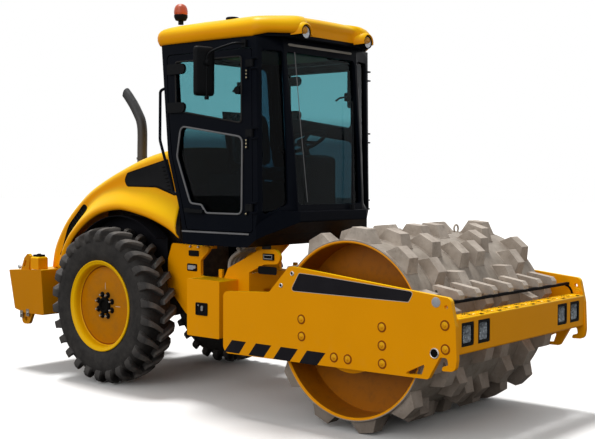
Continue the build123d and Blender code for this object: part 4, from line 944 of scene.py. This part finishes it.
def buildPlates():
    band, edge, discs, rings, holes, lips = (Shape() for _ in range(6))
    line, (low, high), face = roundOff(plate["band"], 6), plate["stripeZ"], plateFace
    band.slab(line, face + 0.0002, face + 0.0014)
    edge.frame(grow(line, 0.0035), grow(line, -0.0002), face + 0.0002, face + 0.0011)
    for topLeft, topRight, baseLeft, baseRight in plate["stripes"]:
        band.slab([(baseLeft, low), (baseRight, low), (topRight, high), (topLeft, high)], face + 0.0002, face + 0.0012)
    for x, z in plate["ringed"]:
        rings.turn(plate["ring"], (x, face, z), steps=36)
        discs.turn(plate["disc"], (x, face, z)).turn(plate["bolt"], (x, face, z), steps=6)
    for x, z, r in plate["holes"]:
        # each hole is a dark disc of painted shade inside a steel lip
        holes.turn([(0.0, 0.0012), (r, 0.0012), (r, 0.0002), (0.0, 0.0002)], (x, face, z))
        lip = [(r - 0.001, 0.0002), (r - 0.001, 0.005), (r + 0.003, 0.006), (r + 0.007, 0.003), (r + 0.008, 0.0002)]
        lips.turn(lip, (x, face, z), steps=36, capped=False)
    x, z = plate["blank"]
    Shape().turn(plate["blankDisc"], (x, face, z), steps=36).pair("PlateBlank", "blank", "front_frame", "yellow")
    band.pair("PlateBands", "decal", "front_frame", "black_paint")
    edge.pair("BandEdge", "edge", "front_frame", "black_paint")
    rings.pair("PlateRings", "ring", "front_frame", "yellow")
    discs.pair("PlateBolts", "disc", "front_frame", "yellow")
    lips.pair("CupLip", "steel", "front_frame", "yellow")
    holes.pair("CupPaintedShade", "holeShade", "front_frame", "yellow")
    # on the inner face, a curved slot drawn as a dark tube of painted shade, and a ringed boss
    curve = smoothLine([(x, plate["inner"] - 0.0005, z) for x, z in plate["slot"]], 6)
    Shape().tube(curve, 0.0085, 8).pair("PlateSlot", "holeShade", "front_frame", "yellow")
    x, z = plate["bossAt"]
    Shape().turn(plate["boss"], (x, plate["inner"], z), steps=28).pair("PlateBoss", "disc", "front_frame", "yellow")


buildPlates()
print("side plates made")


# cup: (depth, size) of a headlamp's reflector
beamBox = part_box("front_beam")
beam = {"top": beamBox[1][2], "rear": beamBox[0][0], "front": beamBox[1][0], "half": 0.895,
        "lampY": (-0.777, -0.575, 0.539, 0.740), "lampZ": (0.695, 0.851), "lampHalf": 0.077,
        "cup": ((0.010, 1.0), (0.016, 0.90), (0.022, 0.72), (0.026, 0.50), (0.028, 0.26)),
        "bulb": [(0.0, -0.012), (0.012, -0.013), (0.018, -0.018), (0.024, -0.024), (0.030, -0.027)],
        "studs": (56, 5), "notches": 7, "crown": [(0.007, 0.0045), (0.0085, 0.0035), (0.0085, 0.0028)]}


def buildHeadlamps():
    frames, cups, lenses, bulbs, rims = (Shape() for _ in range(5))
    low, high = beam["lampZ"]
    mid, tall, half, face = (low + high) / 2, (high - low) / 2, beam["lampHalf"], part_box("headlamps")[1][0]
    for y in beam["lampY"]:
        outer, inner = box(y, mid, half, tall, 0.022, 5), box(y, mid, half - 0.021, tall - 0.021, 0.018, 5)
        frames.frame(outer, inner, face - 0.045, face + 0.002, "x")
        rims.frame(grow(outer, 0.004), outer, face - 0.012, face - 0.002, "x")
        lenses.slab(inner, face - 0.010, face - 0.006, "x")
        rows = [[Vector((face - depth, y + (u - y) * size, mid + (v - mid) * size)) for u, v in inner]
                for depth, size in beam["cup"]]
        cups.grid(rows, closed=True).put(rows[-1], [tuple(range(len(inner)))])
        bulbs.turn(beam["bulb"], (face, y, mid), "x", 20)
    frames.make("headlampFrames", "plastic", "front_frame", "plastic", ("headlamps",), bevel=0.002)
    rims.make("headlampRims", "zinc", "front_frame", "steel")
    cups.make("headlampCups", "reflector", "front_frame", "lamp")
    lenses.make("headlampLenses", "lens", "front_frame", "glass")
    bulbs.make("headlampBulbs", "lens", "front_frame", "lamp")


def buildTread():
    # tread plate with pressed studs, dark frames and pads along it as painted shade of cut notches, and bolt crowns
    low, high, top, edge = beam["rear"] + 0.014, beam["front"] - 0.012, beam["top"], beam["half"] - 0.004
    skin, studs, notches, crowns = (Shape() for _ in range(4))
    skin.slab(box((low + high) / 2, 0, (high - low) / 2, edge), top + 0.0003, top + 0.0030, "z")
    columns, rows = beam["studs"]
    for i in range(columns):
        for j in range(rows):
            x, y = low + (high - low) * (j + 0.5) / rows, -0.872 + 1.744 * (i + 0.5) / columns
            turn = math.radians(45 if (i + j) % 2 else -45)
            run = Vector((math.cos(turn), math.sin(turn), 0)) * 0.0085
            spots = [Vector((x, y, top + lift)) + run * k for k, lift in ((-1, 0.0028), (0, 0.0036), (1, 0.0028))]
            studs.tube(spots, [0.0010, 0.0030, 0.0010], 6)
    rear = beam["rear"] + 0.070
    for k in range(beam["notches"]):
        y = -0.700 + 1.400 * k / (beam["notches"] - 1)
        outer, inner = box(rear, y, 0.028, 0.030, 0.007, 3), box(rear, y, 0.019, 0.021, 0.004, 3)
        notches.frame(outer, inner, top + 0.0031, top + 0.0046, "z")
        notches.slab(box(high - 0.006, y + 0.110, 0.012, 0.020, 0.003, 3), top + 0.0031, top + 0.0040, "z")
        crowns.turn([(0.0, 0.0045)] + beam["crown"], (high - 0.028, y + 0.055, top), "z", 14)
    skin.make("beamTread", "yellow", "front_frame", "yellow")
    studs.make("beamStuds", "yellow", "front_frame", "yellow")
    notches.make("beamNotches", "holeShade", "front_frame", "yellow")
    crowns.make("beamCrowns", "zinc", "front_frame", "steel")


buildHeadlamps()
buildTread()
print("front beam made")


# window outlines as (x, z, corner) on the door's outer face; strip: its two ends in x, then z
door = {
    "lower": [(-0.232, 2.182, 0.060), (0.453, 2.082, 0.060), (0.447, 1.488, 0.050), (0.060, 1.488, 0.045),
              (0.005, 1.553, 0.030), (-0.120, 1.562, 0.050), (-0.276, 1.935, 0.090)],
    "upper": [(-0.300, 2.700, 0.03), (0.438, 2.700, 0.03), (0.440, 2.190, 0.03), (-0.238, 2.300, 0.03),
              (-0.290, 2.345, 0.03)],
    "face": 0.704, "hinges": (2.560, 2.030, 1.520), "strip": (-0.220, 0.613, 1.336),
    "hingeBolt": [(0.0, 0.0085), (0.006, 0.0085), (0.0075, 0.0065), (0.0075, -0.004)],
    "latch": [(0.395, 0.655, 2.470), (0.330, 0.640, 2.462), (0.290, 0.640, 2.440)]}
mirror = {
    "at": (0.258, 0.924, 2.578), "turn": 10, "half": (0.088, 0.188),
    "rows": ((-0.010, 0.955), (-0.012, 1.0), (0.004, 1.0), (0.018, 0.955), (0.026, 0.84), (0.029, 0.55)),
    "arm": [(0.482, 0.716, 2.792), (0.440, 0.790, 2.788), (0.345, 0.882, 2.742), (0.300, 0.918, 2.705),
            (0.290, 0.924, 2.660), (0.288, 0.924, 2.560), (0.288, 0.924, 2.372)],
    "clamp": [(0.0, 0.036), (0.018, 0.036), (0.024, 0.028), (0.024, 0.0), (0.0, 0.0)]}


def buildDoors():
    face, hinge, bright = door["face"], Shape(), Shape()
    trim = Shape().tube([(x, face + 0.002, z) for x, z in roundOff(door["lower"], 7)], 0.0075, 10, closed=True)
    seal = Shape().tube([(x, face - 0.002, z) for x, z in roundOff(door["upper"], 6)], 0.007, 8, closed=True)
    for z in door["hinges"]:
        hinge.slab(box(0.497, z, 0.014, 0.040, 0.004, 3), face - 0.004, face + 0.006)
        for lift in (-0.026, 0.0, 0.026):
            bright.turn(door["hingeBolt"], (0.497, face, z + lift), steps=8)
    trim.pair("DoorTrim", "trim", "*_door", "rubber")
    seal.pair("DoorSeal", "seal", "*_door", "rubber")
    hinge.pair("HingePlates", "black_paint", "*_door", "black_paint", bevel=0.001)
    bright.pair("HingeBolts", "zinc", "*_door", "steel")
    a, b, z = door["strip"]
    line = Shape().slab(box((a + b) / 2 - 0.045, z, (b - a) / 2 - 0.045, 0.0065, 0.003, 3), face + 0.0005, face + 0.0035)
    line.pair("DoorStrip", "trim", "*_door", "black_paint")
    latch = Shape().slab(box(0.395, 2.470, 0.030, 0.036, 0.008, 3), 0.660, 0.674).tube(door["latch"], 0.009, 8)
    latch.pair("DoorLatch", "plastic", "*_door", "plastic", bevel=0.002)


def buildMirrors():
    # a thin rounded head on a bent arm, with a clamp behind it
    halfU, halfV = mirror["half"]
    face, head = box(0, 0, halfU, halfV, 0.030, 6), Shape()
    every = [tuple(range(len(face)))]
    turn = Matrix.Translation(mirror["at"]) @ Matrix.Rotation(math.radians(mirror["turn"]), 4, "Z")
    rows = [[turn @ Vector((w, u * k, v * (1 - (1 - k) * 0.5))) for u, v in face] for w, k in mirror["rows"]]
    head.grid(rows, closed=True).put(rows[-1], every).put(rows[0], every)
    pane = Shape().slab([(u * 0.95, v * 0.97) for u, v in face], -0.0125, -0.0105, "x", turn)
    clamp, y = Shape().turn(mirror["clamp"], (0.276, mirror["at"][1], 2.640), "x", 20), mirror["at"][1]
    clamp.slab(box(0.288, 2.374, 0.013, 0.012, 0.004, 3), y - 0.012, y + 0.012)
    clamp.slab(box(0.478, 2.792, 0.022, 0.030, 0.006, 3), 0.700, 0.722)
    Shape().tube(smoothLine(mirror["arm"], 6), 0.0085, 10).pair("MirrorArm", "plastic", "*_door", "plastic")
    clamp.pair("MirrorClamp", "plastic", "*_door", "plastic", bevel=0.001)
    head.pair("MirrorHead", "plastic", "*_door", "plastic", ("*_mirror",), angle=60)
    pane.pair("MirrorPane", "mirror", "*_door", "glass")


buildDoors()
buildMirrors()

# cab's inside and the windshield's pale seam
cab = {"headliner": [(-0.480, -0.640, 0.05), (0.500, -0.640, 0.12), (0.655, -0.400, 0.10), (0.655, 0.400, 0.10),
                     (0.500, 0.640, 0.12), (-0.480, 0.640, 0.05)], "liningZ": (2.790, 2.815),
       "vents": ((0.600, -0.360), (0.600, 0.300), (0.36, -0.5), (0.36, 0.5)),
       "vent": [(0.0, 2.778), (0.018, 2.776), (0.020, 2.781), (0.036, 2.776), (0.044, 2.778), (0.047, 2.790), (0.0, 2.790)],
       "seam": [(0.738, -0.424, 2.735), (0.740, -0.350, 2.150), (0.736, -0.262, 1.580)]}
vents = Shape()
for x, y in cab["vents"]:
    vents.turn(cab["vent"], (x, y, 0), "z", 28)
lining = Shape().slab(roundOff(cab["headliner"], 5), *cab["liningZ"], "z")
lining.make("cabHeadliner", "headliner", "rear_frame", "fabric", bevel=0.010)
vents.make("cabVents", "plastic", "rear_frame", "plastic")
Shape().tube(cab["seam"], 0.0028, 6).make("windshieldSeam", "trim", "rear_frame", "rubber")
print("doors, mirrors and cab fittings made")


# fittings as low and high x, then low and high z, on the faces of the battery box and the rail
fitting = {"latch": (-0.045, 0.087, 0.672, 0.773), "slot": (-0.349, -0.235, 1.117, 1.164),
           "window": (-0.374, -0.255, 0.991, 1.053), "block": (0.493, 0.603, 1.127, 1.178),
           "opening": (0.432, 0.629, 1.015, 1.077), "post": (-0.044, 0.013, 0.947, 1.022),
           "hexes": ((-0.235, 1.195), (-0.330, 1.195)), "hex": [(0.0, 0.016), (0.009, 0.016), (0.012, 0.010), (0.012, 0.0)]}


def patch(form, key, face, thick, corner):
    low, high, base, top = fitting[key]
    outline = box((low + high) / 2, (base + top) / 2, (high - low) / 2, (top - base) / 2, corner, 4)
    form.slab(outline, face + 0.0003, face + thick)
    return outline


def buildFrameFittings():
    black, chrome, grey = Shape(), Shape(), Shape()
    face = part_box("battery_boxes")[1][1]
    outline = patch(black, "latch", face, 0.004, 0.012)
    black.frame(outline, grow(outline, -0.012), face, face + 0.009)
    chrome.slab(box(0.031, 0.729, 0.011, 0.021, 0.008, 4), face + 0.004, face + 0.012)
    chrome.turn([(0.0, 0.011), (0.007, 0.011), (0.007, 0.003)], (-0.012, face, 0.752), steps=12)
    face = -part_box("right_rail")[0][1]
    patch(black, "slot", face, 0.010, 0.010)
    patch(black, "opening", face, 0.004, 0.020)
    outline = patch(black, "block", face, 0.016, 0.006)
    chrome.frame(grow(outline, -0.010), grow(outline, -0.014), face + 0.016, face + 0.018)
    patch(black, "window", face, 0.004, 0.012)
    low, high, base, top = fitting["window"]
    grey.slab(box((low + high) / 2 - 0.012, (base + top) / 2, 0.032, 0.018, 0.008, 4), face + 0.004, face + 0.010)
    grey.turn([(0.0, 0.018), (0.013, 0.018), (0.015, 0.008)], (high - 0.022, face, (base + top) / 2 + 0.004), steps=18)
    for x, z in fitting["hexes"]:
        chrome.turn(fitting["hex"], (x, face, z), steps=6)
    black.pair("FrameFittings", "plastic", "rear_frame", "plastic", bevel=0.0012)
    chrome.pair("FrameBolts", "steel", "rear_frame", "steel")
    grey.pair("FrameCoupler", "blank", "rear_frame", "steel")
    low, high, base, top = fitting["post"]
    post = Shape().slab(box((low + high) / 2, (base + top) / 2, 0.020, (top - base) / 2, 0.005, 3), 0.448, 0.472)
    post.pair("FramePost", "yellow", "rear_frame", "yellow", bevel=0.002)


# cap on each tail-lamp box, bright bolts and plates on the lugs
weight = {"capY": 0.6825, "cap": [(0.0, 0.026), (0.016, 0.025), (0.024, 0.014), (0.0, 0.014)],
          "face": 0.7505, "plates": ((-2.346, 0.485), (-2.250, 0.505)),
          "hex": [(0.0, 0.014), (0.010, 0.014), (0.014, 0.009), (0.014, 0.003)],
          "guard": (-2.392, 0.7305, 0.925), "knob": [(0.0, 0.016), (0.014, 0.016), (0.020, 0.010), (0.020, 0.0)]}


def buildWeightFittings():
    low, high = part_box("tail_lamps")
    x, y, top, face = (low[0] + high[0]) / 2, weight["capY"], high[2], weight["face"]
    cap = Shape().slab(box(x, y, 0.046, 0.040, 0.014, 4), top - 0.002, top + 0.016, "z")
    cap.turn(weight["cap"], (x, y, top), "z", 20)
    bolts, plates = Shape().turn(weight["knob"], weight["guard"], steps=16), Shape()
    for x, z in weight["plates"]:
        plates.slab(box(x, z, 0.022, 0.034, 0.006, 3), face, face + 0.004)
        bolts.turn(weight["hex"], (x, face, z), steps=6)
    cap.twin().make("weightCaps", "plastic", "rear_frame", "plastic", bevel=0.003)
    bolts.twin().make("weightBolts", "steel", "rear_frame", "steel")
    plates.twin().make("weightPlates", "weld", "rear_frame", "steel", bevel=0.001)


buildFrameFittings()
buildWeightFittings()


# weld beads round each pad's foot, as shares of its half run and half width, and a lifting ring
drum = {"columns": 8, "rows": 11, "pitch": 0.217, "foot": (0.222, 0.125), "radius": 0.630,
        "round": ((-1, -1), (-0.3, -1), (0.3, -1), (1, -1), (1, 0), (1, 1), (0.3, 1), (-0.3, 1), (-1, 1), (-1, 0)),
        "ring": (1.585, 0.560, 1.372), "ringRadius": 0.030}


def buildWelds():
    beads, pitch, radius = Shape(), 360 / drum["rows"], drum["radius"] + 0.0012
    halfRun, halfWide = drum["foot"][0] / 2 / drum["radius"] + 0.004, drum["foot"][1] / 2 + 0.002
    for column in range(drum["columns"]):
        offset = column - (drum["columns"] - 1) / 2
        step = int(3.5 - abs(offset))
        for i in range(drum["rows"]):
            centre = math.radians(180 - pitch / 3 + pitch * (i + step / 3))
            path = []
            for turn, wide in drum["round"]:
                angle = centre + turn * halfRun
                y = offset * drum["pitch"] + wide * halfWide + random.uniform(-0.0015, 0.0015)
                path.append((drumX + radius * math.sin(angle), y, drumZ + radius * math.cos(angle)))
            beads.tube(path, [random.uniform(0.0042, 0.0062) for _ in path], 6, closed=True)
    beads.make("drumWelds", "pad_steel", "drum", "pad_steel", angle=80)
    x, y, z = drum["ring"]
    ring = Shape().tube([(x, v, w) for v, w in circle(y, z, drum["ringRadius"])], 0.0075, 10, closed=True)
    ring.slab(box(x, y, 0.018, 0.024, 0.005, 3), z - 0.040, z - 0.024, "z")
    ring.make("drumRing", "pad_steel", "drum", "pad_steel")


buildWelds()
print("frame, counterweight and drum fittings made")


# half: along, across and thickness before the swelling; reach caps how far a point moves
cushion = {"voxel": 0.006, "pressure": 4.0, "frames": 20, "reach": 0.018, "corner": 0.34,
           "seat": {"centre": (0.070, 0, 1.792), "half": (0.196, 0.228, 0.042), "along": (1, 0, 0)},
           "back": {"centre": (-0.128, 0, 2.088), "half": (0.222, 0.208, 0.040), "along": (-0.115, 0, 0.93)},
           "rows": ((-1.0, 0.0), (-1.0, 0.55), (-1.0, 0.93), (-0.86, 0.985), (-0.4, 1.0), (0.35, 1.0), (0.74, 0.975),
                    (0.93, 0.91), (1.02, 0.70), (1.08, 0.35), (1.10, 0.0))}


def cushionOutline(halfU, halfV, count):
    # a rounded rectangle whose sides bow a little between its corners
    def bowed(share):
        return math.copysign(abs(share) ** cushion["corner"], share)
    return [(halfU * bowed(math.cos(a)), halfV * bowed(math.sin(a))) for a in around(count)]


def swell(thing, low):
    # cloth pressure with the resting face pinned; no point moves further than the reach
    bpy.context.view_layer.objects.active = thing
    thing.data.remesh_voxel_size = cushion["voxel"]
    bpy.ops.object.voxel_remesh()
    start = [v.co.copy() for v in thing.data.vertices]
    pinned = thing.vertex_groups.new(name="resting")
    pinned.add([i for i, p in enumerate(start) if p.z < low + 0.006], 1.0, "REPLACE")
    swelling = thing.modifiers.new("swelling", "CLOTH")
    swelling.settings.use_pressure = True
    swelling.settings.uniform_pressure_force = cushion["pressure"]
    swelling.settings.effector_weights.gravity = 0
    swelling.settings.vertex_group_mass = "resting"
    swelling.point_cache.frame_end = cushion["frames"]
    for frameNumber in range(1, cushion["frames"] + 1):
        scene.frame_set(frameNumber)
    swollen = thing.evaluated_get(bpy.context.evaluated_depsgraph_get()).data
    for vertex, old, new in zip(thing.data.vertices, start, [v.co.copy() for v in swollen.vertices]):
        step = new - old
        vertex.co = old + step * min(1.0, cushion["reach"] / max(step.length, 1e-9))
    thing.modifiers.remove(swelling)
    scene.frame_set(1)


def sewChannels(thing, half):
    # three sewn channels across the middle, one along each side, and raised bolsters outside them
    for vertex in thing.data.vertices:
        u, v, w = vertex.co
        if w <= 0:
            continue
        side = abs(v) / half[1]
        across = max(math.exp(-((u - at * half[0]) / 0.006) ** 2) for at in (-0.42, 0.0, 0.42)) if side < 0.62 else 0.0
        along = math.exp(-((abs(v) - half[1] * 0.62) / 0.007) ** 2)
        bolster = 0.014 * clip((side - 0.62) / 0.2) * max(0.0, 1 - max(0.0, side - 0.82) / 0.18) * min(1.0, w / half[2])
        vertex.co.z = w - max(across * 0.006, along * 0.010) * min(1.0, w / (half[2] * 0.6)) + bolster


def buildCushion(name, kind, replaces):
    half, across = cushion[kind]["half"], Vector((0, 1, 0))
    along = Vector(cushion[kind]["along"]).normalized()
    turn = Matrix((along, across, along.cross(across))).transposed().to_4x4()
    place, outline = Matrix.Translation(cushion[kind]["centre"]) @ turn, cushionOutline(half[0], half[1], 44)
    rows = [[Vector((u * share, v * share, w * half[2])) for u, v in outline] for w, share in cushion["rows"]]
    thing = Shape().grid(rows, closed=True).make(name, "fabric", "rear_frame", "fabric", replaces, angle=180)
    reach = 0.0
    swell(thing, -half[2])
    reach = 0.008
    sewChannels(thing, half)
    thing.data.transform(place)
    thing.data.polygons.foreach_set("use_smooth", [True] * len(thing.data.polygons))
    soft = thing.modifiers.new("soft", "SUBSURF")
    soft.levels = soft.render_levels = 1
    # piping round the crowned edge, sewn on afterwards
    piping = [place @ Vector((u, v, half[2] * 0.62)) for u, v in cushionOutline(half[0] + reach, half[1] + reach, 72)]
    Shape().tube(piping, 0.0045, 8, closed=True).make(name + "Piping", "seal", "rear_frame", "fabric")
    print(name, "made")


buildCushion("seatCushion", "seat", ("seat_cushions",))
buildCushion("backCushion", "back", ())
